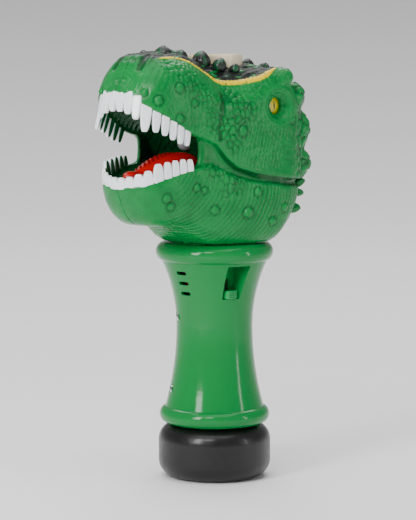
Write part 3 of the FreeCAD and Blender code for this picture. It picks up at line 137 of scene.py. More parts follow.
def stroke(spots: np.ndarray, line: tuple) -> tuple[np.ndarray, np.ndarray]:
    """Distance from points to a polyline, and how far along it the nearest place is.

    Args:
        spots: points, one per row.
        line: corners of the polyline.

    Returns:
        Distances, and lengths from the polyline's first corner.
    """
    best = np.full(len(spots), 1e9, np.float32)
    place = np.zeros(len(spots), np.float32)
    done = 0.0
    corners = np.array(line, np.float32)
    for a, b in zip(corners[:-1], corners[1:]):
        span = b - a
        length = float(np.linalg.norm(span))
        share = np.clip((spots - a) @ span / length ** 2, 0, 1)
        far = np.linalg.norm(spots - a - share[:, None] * span, axis=1)
        nearer = far < best
        best[nearer] = far[nearer]
        place[nearer] = done + share[nearer] * length
        done += length
    return best, place


def bell(distance: np.ndarray, width: float) -> np.ndarray:
    """A smooth bump of height one that has faded at twice the width."""
    return np.exp(-((distance / width) ** 2))


def fade(value: np.ndarray, start: float, end: float) -> np.ndarray:
    """Zero at start, one at end, smooth between."""
    t = np.clip((value - start) / (end - start), 0, 1)
    return t * t * (3 - 2 * t)


def wobble(spots: np.ndarray, size: float) -> np.ndarray:
    """A slow, irregular wave between about -1 and 1."""
    a, b, c = (spots / size).T
    return (np.sin(a + 1.7 * np.sin(b * 0.9 + 0.6)) + np.sin(b * 1.1 + 1.3 * np.sin(c * 0.8 + 2.1))
            + np.sin(c * 1.2 + 1.5 * np.sin(a * 0.7 + 4.0))) / 3


def furrows(at: np.ndarray, spacing: float) -> np.ndarray:
    """Rounded ridges with narrow grooves between them: 1 on a ridge, 0 in a groove."""
    return np.abs(np.sin(np.pi * at / spacing)) ** 0.6


def pebbles(spots: np.ndarray, size: float, seed: int) -> np.ndarray:
    """Rounded scales packed side by side: 1 on top of a scale, 0 in the grooves between.

    Args:
        spots: points, one per row.
        size: distance between scales.
        seed: picks the pattern.
    """
    cells = np.floor(spots / size).astype(np.int64)
    near = np.full(len(spots), 9.0, np.float32)
    second = near.copy()
    for step in np.ndindex(3, 3, 3):
        corner = cells + (np.array(step) - 1)
        mix = corner[:, 0] * 73856093 ^ corner[:, 1] * 19349663 ^ corner[:, 2] * 83492791 ^ seed * 2654435
        jitter = np.stack([((mix >> shift) * 1103515245 + 12345 >> 8 & 1023) / 1023
                           for shift in (0, 7, 13)], 1)
        far = np.linalg.norm(spots / size - corner - 0.15 - 0.7 * jitter, axis=1).astype(np.float32)
        second = np.minimum(second, np.maximum(far, near))
        near = np.minimum(near, far)
    return np.sqrt(np.clip((second - near) * 2.4, 0, 1))


# ------------------------------------------------------------------ head sculpt
@dataclass(frozen=True)
class HeadShape:
    """Outlines of the creature's head, (forward, value) pairs in millimetres."""

    crown: tuple = ((88, 247), (86, 254), (82, 260.5), (76, 264.5), (66, 267), (54, 268), (42, 267.5),
        (30, 264.5), (19, 262), (0, 261), (-16, 260), (-28, 258), (-38, 253), (-47, 244), (-54, 230),
        (-58, 214))
    brow_out: tuple = ((86, 8), (78, 14.5), (70, 18.5), (57, 22), (44, 25), (34, 26), (26, 26.5),
        (12, 29.5), (-2, 33), (-14, 36), (-26, 36), (-36, 33), (-46, 27), (-56, 14))
    brow_top: tuple = ((86, 251), (78, 260), (70, 263.5), (57, 263), (44, 259.5), (34, 254.5), (26, 250.5),
        (16, 249), (6, 251), (-4, 254), (-14, 256.5), (-24, 256), (-32, 250), (-44, 238), (-56, 220))
    plan: tuple = ((88.2, 0), (87.4, 6), (86.4, 10.5), (84.6, 15.5), (82.3, 19.5), (78, 23.6), (70, 27.2),
        (60, 29.6), (46, 31.3), (34, 33.2), (18, 36.6), (0, 40), (-15, 42), (-28, 42.2), (-38, 39.5),
        (-46, 34.5), (-52, 28), (-56.5, 18), (-58.4, 0))
    lip: tuple = ((89, 244.2), (87, 243), (83, 237.5), (79, 234), (68, 228), (57, 221.5), (49, 217.5),
        (42, 215.8), (34, 212.5), (28, 204), (20, 197), (1, 190), (-24, 186.5), (-60, 188))
    jaw_plan: tuple = ((87, 0), (86.4, 6), (85, 10.5), (82.6, 15.5), (79.5, 19.6), (74, 23.4), (66, 26.2),
        (54, 29.2), (36, 33.2), (20, 36.6), (1, 40), (-13, 41.8), (-25, 41.6), (-36, 38), (-45, 31),
        (-51, 21), (-54, 0))
    jaw_top: tuple = ((88, 188.4), (80, 190.4), (74, 192.4), (54, 197.6), (40, 199.6), (34, 199.2),
        (24, 194.2), (12, 190.5), (1, 188.4), (-13, 187.4), (-25, 185), (-60, 186))
    jaw_bottom: tuple = ((87, 184), (85.5, 176.5), (81, 169.5), (75, 165.2), (67, 163), (56, 162.8),
        (47, 162.4), (40, 159.4), (34, 155), (27, 150.5), (0, 146), (-20, 149), (-31, 157), (-40, 166),
        (-49, 177), (-54, 186))


@dataclass(frozen=True)
class HeadMarks:
    """Places of the moulded details, as (forward, half width, height) points in millimetres."""

    stripe: tuple = ((65.8, 16.0, 264.8), (57.9, 16.7, 265.1), (49.9, 17.9, 264.4), (45.4, 19.9, 262.9),
        (41.0, 22.0, 260.1), (36.7, 22.9, 257.2), (31.1, 23.9, 254.2), (28.0, 26.0, 251.9),
        (22.4, 26.9, 249.8), (16.7, 27.8, 249.5), (9.7, 29.9, 249.9), (3.0, 32.3, 250.8),
        (-3.1, 34.1, 251.8), (-8.9, 34.9, 253.8), (-17.9, 33.9, 257.4))
    nostril: tuple = ((69.0, 8.5, 267.0), (73.8, 9.9, 263.1), (77.9, 10.6, 259.2))
    crease: tuple = ((27.7, 31.9, 243.3), (29.5, 34.9, 232.5), (31.0, 34.9, 223.7), (31.2, 33.9, 215.5))
    flange: tuple = ((36.5, 33.0, 214.8), (30.4, 34.6, 208.2), (23.6, 36.2, 202.7), (17.0, 37.5, 198.6),
        (5.9, 39.8, 195.6), (-8.0, 41.6, 193.8), (-24.0, 41.6, 191.6))
    fold: tuple = ((34.2, 33.0, 210.2), (27.0, 34.0, 202.2), (18.2, 35.5, 195.4), (7.1, 38.0, 192.2),
        (-3.1, 40.8, 190.3), (-17.3, 42.3, 188.2), (-34.8, 38.6, 186.6), (-46.0, 31.0, 186.0))
    snout_scales: tuple = ((64.0, 20.0, 262.0), (56.9, 26.9, 256.4), (50.5, 29.9, 250.2),
        (43.7, 31.5, 243.0), (36.7, 32.8, 234.7), (34.5, 34.0, 227.0), (35.5, 33.6, 221.6))
    cheek_scales: tuple = ((21.9, 32.6, 242.5), (16.1, 35.9, 237.0), (9.0, 38.8, 232.0),
        (17.2, 36.9, 229.0), (22.8, 36.0, 225.3), (25.4, 35.6, 217.8), (20.8, 36.6, 210.3))
    jaw_scales: tuple = ((37.1, 30.5, 196.5), (28.3, 34.9, 192.5), (17.9, 37.6, 188.0), (26.0, 35.0, 184.0))
    bumps: tuple = ((82.0, 18.7, 244.9, 2.2, 1.3), (75.3, 24.8, 239.9, 2.4, 1.4),
        (61.4, 29.8, 247.0, 2.6, 0.9), (61.4, 29.8, 228.9, 2.4, 0.8), (14.2, 37.9, 220.0, 2.8, 1.2),
        (68.0, 24.9, 180.9, 2.4, 1.0), (64.2, 23.8, 175.8, 2.2, 0.9), (48.0, 31.0, 186.6, 2.2, 1.1),
        (42.3, 31.9, 184.8, 2.0, 1.0), (33.1, 31.9, 172.1, 2.5, 1.3), (9.7, 38.0, 169.5, 3.1, 1.8),
        (3.1, 39.9, 182.3, 2.4, 1.2), (-11.0, 39.7, 163.3, 2.5, 1.3), (-20.4, 40.9, 171.5, 2.4, 1.2),
        (-33.0, 38.0, 205.0, 2.6, 1.0), (50.0, 30.5, 238.0, 2.0, 0.8), (-26.0, 41.5, 226.0, 2.3, 1.0),
        (57.0, 28.5, 170.0, 2.0, 0.9))
    snout_ridges: tuple = (((83.6, 3.6, 253.2), (84.8, 2.4, 248.6)),
        ((82.6, 6.6, 253.4), (84.7, 5.8, 247.4)), ((82.2, 9.6, 252.6), (85.2, 8.8, 245.6)),
        ((80.9, 13.0, 252.4), (84.2, 12.6, 245.2)), ((79.6, 15.4, 251.4), (82.8, 15.4, 246.0)),
        ((78.0, 18.2, 250.0), (80.6, 18.4, 246.4)))
    lobes: tuple = ((-23.0, 33.5, 252.0, 9.5, 7.5, 6.5), (-36.0, 33.0, 240.0, 8.5, 7.5, 9.0),
        (-41.5, 31.5, 219.5, 9.5, 8.0, 11.0), (-44.0, 30.0, 198.0, 9.5, 8.0, 8.5))


@dataclass(frozen=True)
class SkinGrain:
    """Spacing, depth and zero level of each kind of moulded line or packed scale."""

    muzzle: tuple = (2.9, 0.55, 0.6)
    lids: tuple = (2.7, 0.5, 0.5)
    snout: tuple = (2.7, 0.58, 0.65)
    temple: tuple = (2.8, 0.55, 0.65)
    jaw: tuple = (3.0, 0.70, 0.65)
    snout_scales: tuple = (3.4, 1.0, 0.55)
    cheek_scales: tuple = (4.2, 1.3, 0.6)
    jaw_scales: tuple = (3.6, 1.1, 0.6)
    temple_scales: tuple = (3.0, 0.45, 0.6)
    hide: tuple = (6.4, 1.1, 0.7)


@dataclass(frozen=True)
class Rounding:
    """Widths of the rounded corners and fillets between the head's masses, in millimetres."""

    brow: float = 6.0
    lip: float = 2.2
    jaw_rim: float = 2.4
    jaw_base: float = 8.0
    neck_top: float = 4.0
    cheek: float = 2.0
    mouth_corner: float = 2.5
    jaws: float = 1.6
    neck: float = 6.0
    cheek_join: float = 1.2
    lobe: float = 2.6
    socket: float = 2.0


@dataclass
class HeadSculpt:
    """The head as a distance field on a grid, and the meshes cut from it."""

    step: float = 0.7
    shape: HeadShape = field(default_factory=HeadShape)
    marks: HeadMarks = field(default_factory=HeadMarks)
    grain: SkinGrain = field(default_factory=SkinGrain)
    rounding: Rounding = field(default_factory=Rounding)
    wall: float = 2.3
    lip_width: float = 3.4
    throat: float = 24.0
    base: float = 150.0
    neck_radius: float = 27.8
    neck_bore: float = 25.3
    flange: tuple = (31.3, 141.3, 144.9)
    nozzle_hole: float = 17.7
    eye: tuple = (-15.0, 234.5)
    eye_hole: float = 5.2
    lamp: tuple = (4.25, 211.2)
    screws: tuple = ((-46.0, 211.2), (-38.0, 245.2), (68.0, 250.2), (58.0, 176.2))
    well: tuple = (2.9, 4.8, 7.0)
    triangles: int = 186000
    widest: float = 42.7
    eye_back: float = 25.0
    roof_floor: float = 205.0
    lamp_depth: float = 6.0
    relief_reach: float = 3.2
    crisp: float = 1.2
    bead: float = 2.7
    reach: tuple = ((-3, 47), (-64, 93), (138, 277))

    def grid(self) -> tuple[np.ndarray, np.ndarray, np.ndarray]:
        """Half widths, forward distances and heights of the grid's points."""
        w, u, z = (np.arange(low, high, self.step, dtype=np.float32) for low, high in self.reach)
        return w[:, None, None], u[None, :, None], z[None, None, :]

    def plan_distance(self, w: np.ndarray, u: np.ndarray, outline: tuple) -> np.ndarray:
        """Signed distance, in plan, to a closed symmetric outline of (forward, half width) points."""
        u_line, w_line = u[0, :, 0], w[:, 0, 0]
        spots = np.array(outline, np.float32)
        fine = []
        for a, b in zip(spots[:-1], spots[1:]):
            count = max(2, int(np.hypot(*(b - a)) / 0.8))
            fine.append(a + (b - a) * np.linspace(0, 1, count, endpoint=False)[:, None])
        fine = np.vstack(fine + [spots[-1:]])
        kernel = np.exp(-0.5 * (np.arange(-6, 7) / 2.5) ** 2)
        padded = np.vstack([fine[1:7][::-1] * (1, -1), fine, fine[-7:-1][::-1] * (1, -1)])
        fine = np.stack([np.convolve(padded[:, k], kernel / kernel.sum(), mode="valid") for k in (0, 1)], 1)
        uu, ww = np.meshgrid(u_line, w_line)
        best = np.full(uu.shape, 1e9, np.float32)
        inside = np.zeros(uu.shape, bool)
        ring = np.vstack([fine, fine[::-1] * (1, -1)])
        for a, b in zip(ring, np.roll(ring, -1, 0)):
            d = b - a
            length = max(float(d @ d), 1e-9)
            t = np.clip(((uu - a[0]) * d[0] + (ww - a[1]) * d[1]) / length, 0, 1)
            best = np.minimum(best, (uu - a[0] - t * d[0]) ** 2 + (ww - a[1] - t * d[1]) ** 2)
            if a[1] != b[1]:
                crossing = ((a[1] > ww) != (b[1] > ww)) & (uu < a[0] + (ww - a[1]) / (b[1] - a[1]) * d[0])
                inside ^= crossing
        signed = np.sqrt(best)
        signed[inside] *= -1
        return signed[:, :, None].astype(np.float32)

    def along(self, points: tuple, soften: float = 2.0) -> np.ndarray:
        """An outline's values at the grid's forward distances."""
        return curve(points, self.grid()[1][0, :, 0], soften)[None, :, None]

    def solid(self) -> np.ndarray:
        """The head's outside as a field, before the mouth is opened."""
        s, round_ = self.shape, self.rounding
        w, u, z = self.grid()
        plan = self.plan_distance(w, u, s.plan)
        crown, out, top = (self.along(points) for points in (s.crown, s.brow_out, s.brow_top))
        lip, jaw_top = self.along(s.lip, self.crisp), self.along(s.jaw_top)
        jaw_bottom = self.along(s.jaw_bottom)
        span = np.clip(np.abs(w) / out, 0, 1.6)
        roof = crown + (top - crown) * span ** 2.2
        slope = np.clip((z - (top - 16)) / 16, 0, 1.5)
        side = plan + slope ** 1.6 * np.clip(self.along(s.plan) - out, 0, 20)
        skull = join_max(side, (z - roof) * 0.8, round_.brow)
        skull = join_max(skull, lip - z, round_.lip)
        jaw_side = self.plan_distance(w, u, s.jaw_plan)
        depth = np.clip((jaw_top - z) / (jaw_top - jaw_bottom + 1e-3), 0, 1.4)
        jaw = join_max(jaw_side + 9.0 * depth ** 2.6, z - jaw_top, round_.jaw_rim)
        jaw = join_max(jaw, (jaw_bottom - z) * 0.85, round_.jaw_base)
        reach = np.sqrt(w * w + u * u)
        neck = join_max(reach - (28.0 + np.clip(z - 152, 0, 30) * 0.35), z - 176, round_.neck_top)
        cheek = join_max(plan + self.lip_width + 0.6,
                         np.maximum(z - self.along(s.lip) - 3, jaw_top - 3 - z), round_.cheek)
        front = 45.0 - 3.2 * np.cos(np.clip((z - 208) / 9, -1.6, 1.6))
        cheek = join_max(cheek, u - front, round_.mouth_corner)
        body = join_min(join_min(skull, jaw, round_.jaws), neck, round_.neck)
        return join_min(body, cheek, round_.cheek_join)

    def neck(self, w: np.ndarray, u: np.ndarray, z: np.ndarray) -> np.ndarray:
        """The round neck and its flange that sit in the handle's collar."""
        reach = np.sqrt(w * w + u * u)
        radius, low, high = self.flange
        tube = np.maximum(reach - self.neck_radius, np.maximum(low - z, z - self.base - 8))
        disc = np.maximum(reach - radius, np.maximum(low - z, z - high))
        return np.minimum(tube, disc)

    def outside(self) -> np.ndarray:
        """The head's outer surface with its lobes and eye sockets, smoothed."""
        w, u, z = self.grid()
        block = blurred(self.solid(), 2)
        for forward, out, height, rw, ru, rz in self.marks.lobes:
            block = join_min(block, ellipsoid(w, u, z, (out, forward, height), (rw, ru, rz)),
                             self.rounding.lobe)
        eye_u, eye_z = self.eye
        socket = ellipsoid(w, u, z, (45.5, eye_u + 0.5, eye_z + 0.3), (9.4, 11.0, 10.2))
        block = join_max(block, -socket, self.rounding.socket)
        lid = np.sqrt((u - eye_u) ** 2 * 0.9 + (z - eye_z) ** 2 * 1.1)
        rim = np.sqrt((lid - 6.6) ** 2 + ((w - 36.6) * 0.9) ** 2) - 1.5
        return join_min(blurred(block, 1), rim, 1.2)

    def cavity(self) -> np.ndarray:
        """The open mouth behind the lips, as a field that is negative in the opening."""
        s = self.shape
        w, u, z = self.grid()
        roof, floor = self.along(s.lip, self.crisp), self.along(s.jaw_top)
        inset = self.lip_width + 4.2 * fade(-u, -54, -40)
        plan = self.plan_distance(w, u, s.plan) + inset
        jaw = self.plan_distance(w, u, s.jaw_plan) + inset
        middle = (z - floor) / (roof - floor + 1e-3)
        side = np.where(middle > 0.5, plan, jaw)
        arch = np.clip(-side / 9, 0, 1) ** 0.6
        combs = 0.7 * np.cos(2 * np.pi * (u + np.abs(w) * 0.5) / 3.4) * fade(-side, 0.5, 3)
        high = z - np.clip(roof + 6.0 * arch + combs, 0, 246)
        low = np.maximum(floor - 6.5 * arch, 184.5) - combs * 0.4 - z
        return join_max(join_max(side, self.throat - u, 3.0), np.maximum(high, low), 2.0)

    def relief(self, spots: np.ndarray) -> np.ndarray:
        """How far the moulded skin stands out at points on the outside, in millimetres.

        Args:
            spots: (forward, half width, height) points, one per row.
        """
        m, shape, grain = self.marks, self.shape, self.grain
        u, w, z = spots.T
        crown = fade(z - curve(shape.brow_top, u), -1.0, 2.5) * fade(z, 244, 250)
        lift = self.wrinkles(spots, crown)
        front = fade(u, 74, 78) * fade(-w, -10.5, -7.5) * fade(z, 249, 252) * fade(-z, -265, -261)
        size, depth, level = grain.muzzle
        lift += front * depth * (furrows(z + 0.05 * w * w + 0.8 * wobble(spots, 5.0), size) - level)
        for ends in m.snout_ridges:
            lift += 0.8 * bell(stroke(spots, ends)[0], 0.9)
        slit = stroke(spots, m.nostril)[0]
        lift += 0.6 * bell(slit - 3.6, 1.2) - 2.3 * bell(slit, 1.9)
        lift -= 0.9 * bell(stroke(spots, m.crease)[0], 1.7)
        brim = stroke(spots, m.flange)[0]
        lift = lift * (1 - 0.95 * bell(brim, 3.6)) + 0.6 * bell(brim, 2.6)
        lift -= 2.4 * bell(stroke(spots, m.fold)[0], 1.9)
        for forward, out, height, radius, rise in m.bumps:
            far = np.linalg.norm(spots - (forward, out, height), axis=1) / radius
            dome = rise * np.sqrt(np.clip(1 - far ** 2, 0, 1)) - 0.3 * bell(far - 1.35, 0.3)
            lift = lift * (1 - bell(far, 1.3)) + 1.2 * dome
        striped, along = stroke(spots, m.stripe)
        bead = 0.78 + 0.22 * np.sin(2 * np.pi * along / self.bead + 0.8 * np.sin(along))
        lift += (1.0 + 0.5 * fade(along, 36, 46)) * bead * bell(striped, self.stripe_width(along))
        ridged = (0.62 * wobble(spots * (0.45, 1.6, 1.0), 1.3)
                  + 0.5 * (pebbles(spots * (0.55, 1, 1), 4.6, 21) - 0.5))
        lift += crown * ridged * (1 - bell(striped, 2.6))
        ring = np.hypot((u - self.eye[0]) * 0.95, (z - self.eye[1]) * 1.05)
        around = fade(w, 28, 33) * fade(-ring, -15.0, -12.6) * fade(ring, 8.0, 9.0)
        size, depth, level = grain.lids
        lift = lift * (1 - around) + depth * around * (furrows(ring, size) - level)
        return lift * fade(z, 150.6, 153) * fade(w, 0.0, 0.8)

    def wrinkles(self, spots: np.ndarray, crown: np.ndarray) -> np.ndarray:
        """Long wrinkles and packed scales of the face and jaw, in millimetres.

        Args:
            spots: (forward, half width, height) points, one per row.
            crown: how far each point belongs to the crown, which has none of them.
        """
        m, shape, grain = self.marks, self.shape, self.grain
        u, _, z = spots.T
        slow, quick = wobble(spots, 11.0), wobble(spots + 3, 4.5)
        rough = 1.3 * slow + 0.6 * quick
        broken = np.clip(0.85 + 0.5 * wobble(spots * (1.0, 1.0, 0.6) + 20, 5.5), 0.25, 1.2)
        lift = 0.08 * wobble(spots + 7, 1.6)
        face = np.clip(1 - crown, 0, 1)
        upper = fade(z - curve(shape.lip, u, self.crisp), 0.5, 3.5) * face
        jaw = fade(curve(shape.jaw_top, u) - z, 1.0, 4.0) * fade(z, 151, 155)
        scales = np.clip(bell(stroke(spots, m.snout_scales)[0], 6.4) * 1.6, 0, 1) * face
        tight = np.clip(bell(stroke(spots, m.cheek_scales)[0], 5.4) * 1.7, 0, 1) * face
        under = np.clip(bell(stroke(spots, m.jaw_scales)[0], 5.2) * 1.7, 0, 1)
        snout = upper * fade(u, 32, 40) * fade(-u, -80, -73) * (1 - scales)
        slant = 1.5 * (0.62 + 0.30 * fade(-z, -244, -226))
        size, depth, level = grain.snout
        lift += depth * broken * snout * (furrows(u * np.sin(slant) + z * np.cos(slant) + rough, size) - level)
        packed = ((grain.snout_scales, 1.0, 3, scales), (grain.cheek_scales, 0.9, 11, tight),
                  (grain.jaw_scales, 0.8, 5, under))
        for (size, depth, level), stretch, seed, share in packed:
            lift += depth * (pebbles(spots * (1, 1, stretch), size, seed) - level) * share
        temple = upper * fade(-u, -24, -14) * (1 - tight)
        size, depth, level = grain.temple
        rake = depth * broken * (furrows(u + 0.25 * (z - 200) + rough, size) - level) * fade(-z, -234, -216)
        size, depth, level = grain.temple_scales
        lift += temple * (depth * (pebbles(spots, size, 8) - level) + rake)
        nape = upper * fade(-u, 26, 36)
        size, depth, level = grain.hide
        lift = lift * (1 - 0.6 * nape) + depth * nape * (pebbles(spots * (1, 1, 0.8), size, 17) - level)
        arcs = np.hypot(u - 78, z - 204) + rough
        chin = fade(u, 58, 70)
        size, depth, level = grain.jaw
        lift += depth * broken * jaw * (1 - under) * (1 - chin) * (furrows(arcs, size) - level)
        return lift * (1 - 0.9 * chin * fade(-z, -190, -186))

    def stripe_width(self, along: np.ndarray) -> np.ndarray:
        """Half width of the painted ridge: thin on the snout, thick over the eye, pointed at its ends."""
        beads = 0.12 * np.sin(2 * np.pi * along / self.bead)
        body = 1.15 + 0.75 * fade(along, 34, 46) + beads
        return body * (0.45 + 0.55 * fade(along, 0, 6)) * (0.55 + 0.45 * fade(-along, -90, -82))

    def paint(self, spots: np.ndarray, inner: np.ndarray) -> dict[str, np.ndarray]:
        """How much of each hand-painted colour, and of the painted shade in grooves and inside the mouth, lies
        at points.

        Args:
            spots: (forward, half width, height) points, one per row.
            inner: the mouth opening's field at the points.
        """
        u, w, z = spots.T
        striped, along = stroke(spots, self.marks.stripe)
        width = self.stripe_width(along)
        edge = curve(tuple((spot[0], spot[1]) for spot in self.marks.stripe), u, 1.0)
        crown = fade(edge - w, -0.5, 2.5) * fade(z, 243, 248) * fade(-u, -78, -66) * fade(u, -34, -20)
        return {"stripe": 1 - fade(striped, width - 0.35, width + 0.35),
                "crown": crown,
                # painted shade: where the relief sinks below the surface the skin is darkened
                "groove": 1 - fade(self.relief(spots), -0.55, 0.10),
                # painted shade: the skin round the mouth opening is darkened
                "mouth": 1 - fade(inner, 0.5, 1.1)}

    def screw_posts(self, side: Side) -> tuple[np.ndarray, np.ndarray]:
        """Fields of the screw posts inside a half, and of the wells that the screws' heads sit in."""
        w, u, z = self.grid()
        narrow, wide, seat = self.well
        post = wide if side is Side.RIGHT else wide - 0.6
        posts = np.full(np.broadcast_shapes(w.shape, u.shape, z.shape), 1e3, np.float32)
        wells = posts.copy()
        for forward, height in self.screws:
            axis = np.sqrt((u - forward) ** 2 + (z - height) ** 2) + 0 * w
            posts = np.minimum(posts, axis - post)
            wells = np.minimum(wells, np.maximum(axis - narrow, seat - w))
        return posts, wells

    def openings(self) -> list:
        """Fields that are negative in the eye hole, the nozzle's hole and the lamp's hole."""
        w, u, z = self.grid()
        eye_u, eye_z = self.eye
        eye = np.sqrt((u - eye_u) ** 2 + (z - eye_z) ** 2) - self.eye_hole
        nozzle = np.sqrt(w * w + u * u) - self.nozzle_hole
        radius, height = self.lamp
        lamp = np.sqrt(w * w + (z - height) ** 2) - radius
        return [np.maximum(eye, self.eye_back - w), np.maximum(nozzle, self.roof_floor - z),
                np.maximum(lamp, np.abs(u - self.throat) - self.lamp_depth)]

    def half(self, side: Side) -> bpy.types.Object:
        """One moulded half of the head, open where the mouth, eye, nozzle and neck are."""
        w, u, z = self.grid()
        skin = np.maximum(self.outside(), self.base - z)
        origin = (float(w[0, 0, 0]), float(u[0, 0, 0]), float(z[0, 0, 0]))
        close = np.abs(skin) < self.relief_reach
        spots = (np.argwhere(close) * self.step + origin)[:, (1, 0, 2)]
        spots[:, 1] = np.abs(spots[:, 1])
        detailed = skin.copy()
        detailed[close] -= self.relief(spots).astype(np.float32)
        detailed = join_max(detailed, w - self.widest, 0.5)
        gape = self.cavity()
        posts, wells = self.screw_posts(side)
        room = np.maximum(skin + self.wall + 0.8, -(gape - self.wall))
        room = np.minimum(room, np.maximum(np.sqrt(w * w + u * u) - self.neck_bore, z - self.base - 12))
        room = np.maximum(room, -posts)
        shell = np.maximum(join_min(detailed, self.neck(w, u, z), 0.4), -room)
        for opening in [gape] + self.openings() + ([wells] if side is Side.RIGHT else []):
            shell = np.maximum(shell, -opening)
        shell = np.maximum(shell, SEAM - w)
        piece = mesh_from_field("head_skin_" + side.name.lower(), shell, origin, self.step, side)
        self.finish(piece, skin, gape, origin)
        return piece

    def finish(self, piece: bpy.types.Object, skin: np.ndarray, gape: np.ndarray, origin: tuple) -> None:
        """Thin out the hidden inside of a half, and store its painted areas and its painted shade as
        attributes.
        """
        inside = piece.vertex_groups.new(name="inside")
        spots = self.spots_of(piece)
        depth, opening = self.read(skin, spots, origin), self.read(gape, spots, origin)
        hidden = np.flatnonzero((depth < -2.4) & (opening > 1.6))
        inside.add(hidden.tolist(), 1.0, "REPLACE")
        faces = 2 * len(piece.data.polygons)
        if faces > self.triangles:
            hold(piece)
            thin = piece.modifiers.new("thin", "DECIMATE")
            thin.vertex_group = "inside"
            thin.ratio = self.triangles / faces
            bpy.ops.object.modifier_apply(modifier="thin")
        spots = self.spots_of(piece)
        for name, values in self.paint(spots, self.read(gape, spots, origin)).items():
            store(piece, name, values)
        piece.data.polygons.foreach_set("use_smooth", [True] * len(piece.data.polygons))
        log.info("%s: %d faces of %d", piece.name, len(piece.data.polygons), faces // 2)

    def spots_of(self, piece: bpy.types.Object) -> np.ndarray:
        """(forward, half width, height) of a mesh's vertices, in millimetres."""
        co = coordinates(piece) / MM
        return np.stack([-co[:, 1], np.abs(co[:, 0]), co[:, 2]], 1)

    def read(self, block: np.ndarray, spots: np.ndarray, origin: tuple) -> np.ndarray:
        """A field's value at the nearest grid point of each spot."""
        places = (spots[:, (1, 0, 2)] - np.array(origin)) / self.step
        index = np.clip(np.rint(places).astype(int), 0, np.array(block.shape) - 1)
        return block[index[:, 0], index[:, 1], index[:, 2]]


def mesh_from_field(name: str, block: np.ndarray, origin: tuple, step: float, side: Side) -> bpy.types.Object:
    """A mesh of a field's zero surface, in metres, on one side of the head.

    Args:
        name: the new object's name.
        block: distance field over (half width, forward, height).
        origin: the block's first point.
        step: grid spacing.
        side: which half of the head it is for.

    Returns:
        The new object.
    """
    volume = openvdb.FloatGrid()
    volume.copyFromArray(np.ascontiguousarray(block, np.float32))
    points, quads = volume.convertToQuads(isovalue=0.0)
    spots = points * step + np.array(origin)
    seam = spots[:, 0] < 0.6 * step
    spots[seam, 0] = SEAM
    coords = np.stack([spots[:, 0] * side.value, -spots[:, 1], spots[:, 2]], 1) * MM
    mesh = bpy.data.meshes.new(name)
    mesh.from_pydata(coords.tolist(), [], quads.tolist())
    piece = bpy.data.objects.new(name, mesh)
    bpy.context.scene.collection.objects.link(piece)
    return piece


# ------------------------------------------------------------------ pieces built with mesh operators
def start(operator, **size) -> bpy.types.Object:
    """Add one primitive and return it, with nothing else selected."""
    bpy.ops.object.select_all(action="DESELECT")
    operator(**size)
    return bpy.context.object


def hold(piece: bpy.types.Object) -> None:
    """Make a piece the only selected and active one."""
    bpy.ops.object.select_all(action="DESELECT")
    bpy.context.view_layer.objects.active = piece
    piece.select_set(True)


def settle(piece: bpy.types.Object, name: str, angle: float = 50.0) -> bpy.types.Object:
    """Apply a piece's modifiers and transforms, shade it smooth and name it."""
    hold(piece)
    for modifier in list(piece.modifiers):
        bpy.ops.object.modifier_apply(modifier=modifier.name)
    bpy.ops.object.transform_apply(location=True, rotation=True, scale=True)
    bpy.ops.object.mode_set(mode="EDIT")
    bpy.ops.mesh.select_all(action="SELECT")
    bpy.ops.mesh.normals_make_consistent(inside=False)
    bpy.ops.object.mode_set(mode="OBJECT")
    bpy.ops.object.shade_smooth_by_angle(angle=math.radians(angle))
    piece.name = piece.data.name = name
    return piece


def joined(pieces: list, name: str) -> bpy.types.Object:
    """Several pieces as one mesh."""
    hold(pieces[0])
    for piece in pieces[1:]:
        piece.select_set(True)
    bpy.ops.object.join()
    piece = bpy.context.object
    piece.name = piece.data.name = name
    return piece


def coordinates(piece: bpy.types.Object) -> np.ndarray:
    """A mesh's vertex coordinates, one per row."""
    co = np.empty(3 * len(piece.data.vertices), np.float32)
    piece.data.vertices.foreach_get("co", co)
    return co.reshape(-1, 3)


def set_coordinates(piece: bpy.types.Object, co: np.ndarray) -> None:
    """Move a mesh's vertices."""
    piece.data.vertices.foreach_set("co", np.ascontiguousarray(co, np.float32).ravel())
    piece.data.update()


def store(piece: bpy.types.Object, name: str, values: np.ndarray) -> None:
    """Keep one number per vertex on a mesh under a name."""
    layer = piece.data.attributes.new(name, "FLOAT", "POINT")
    layer.data.foreach_set("value", values.astype(np.float32))


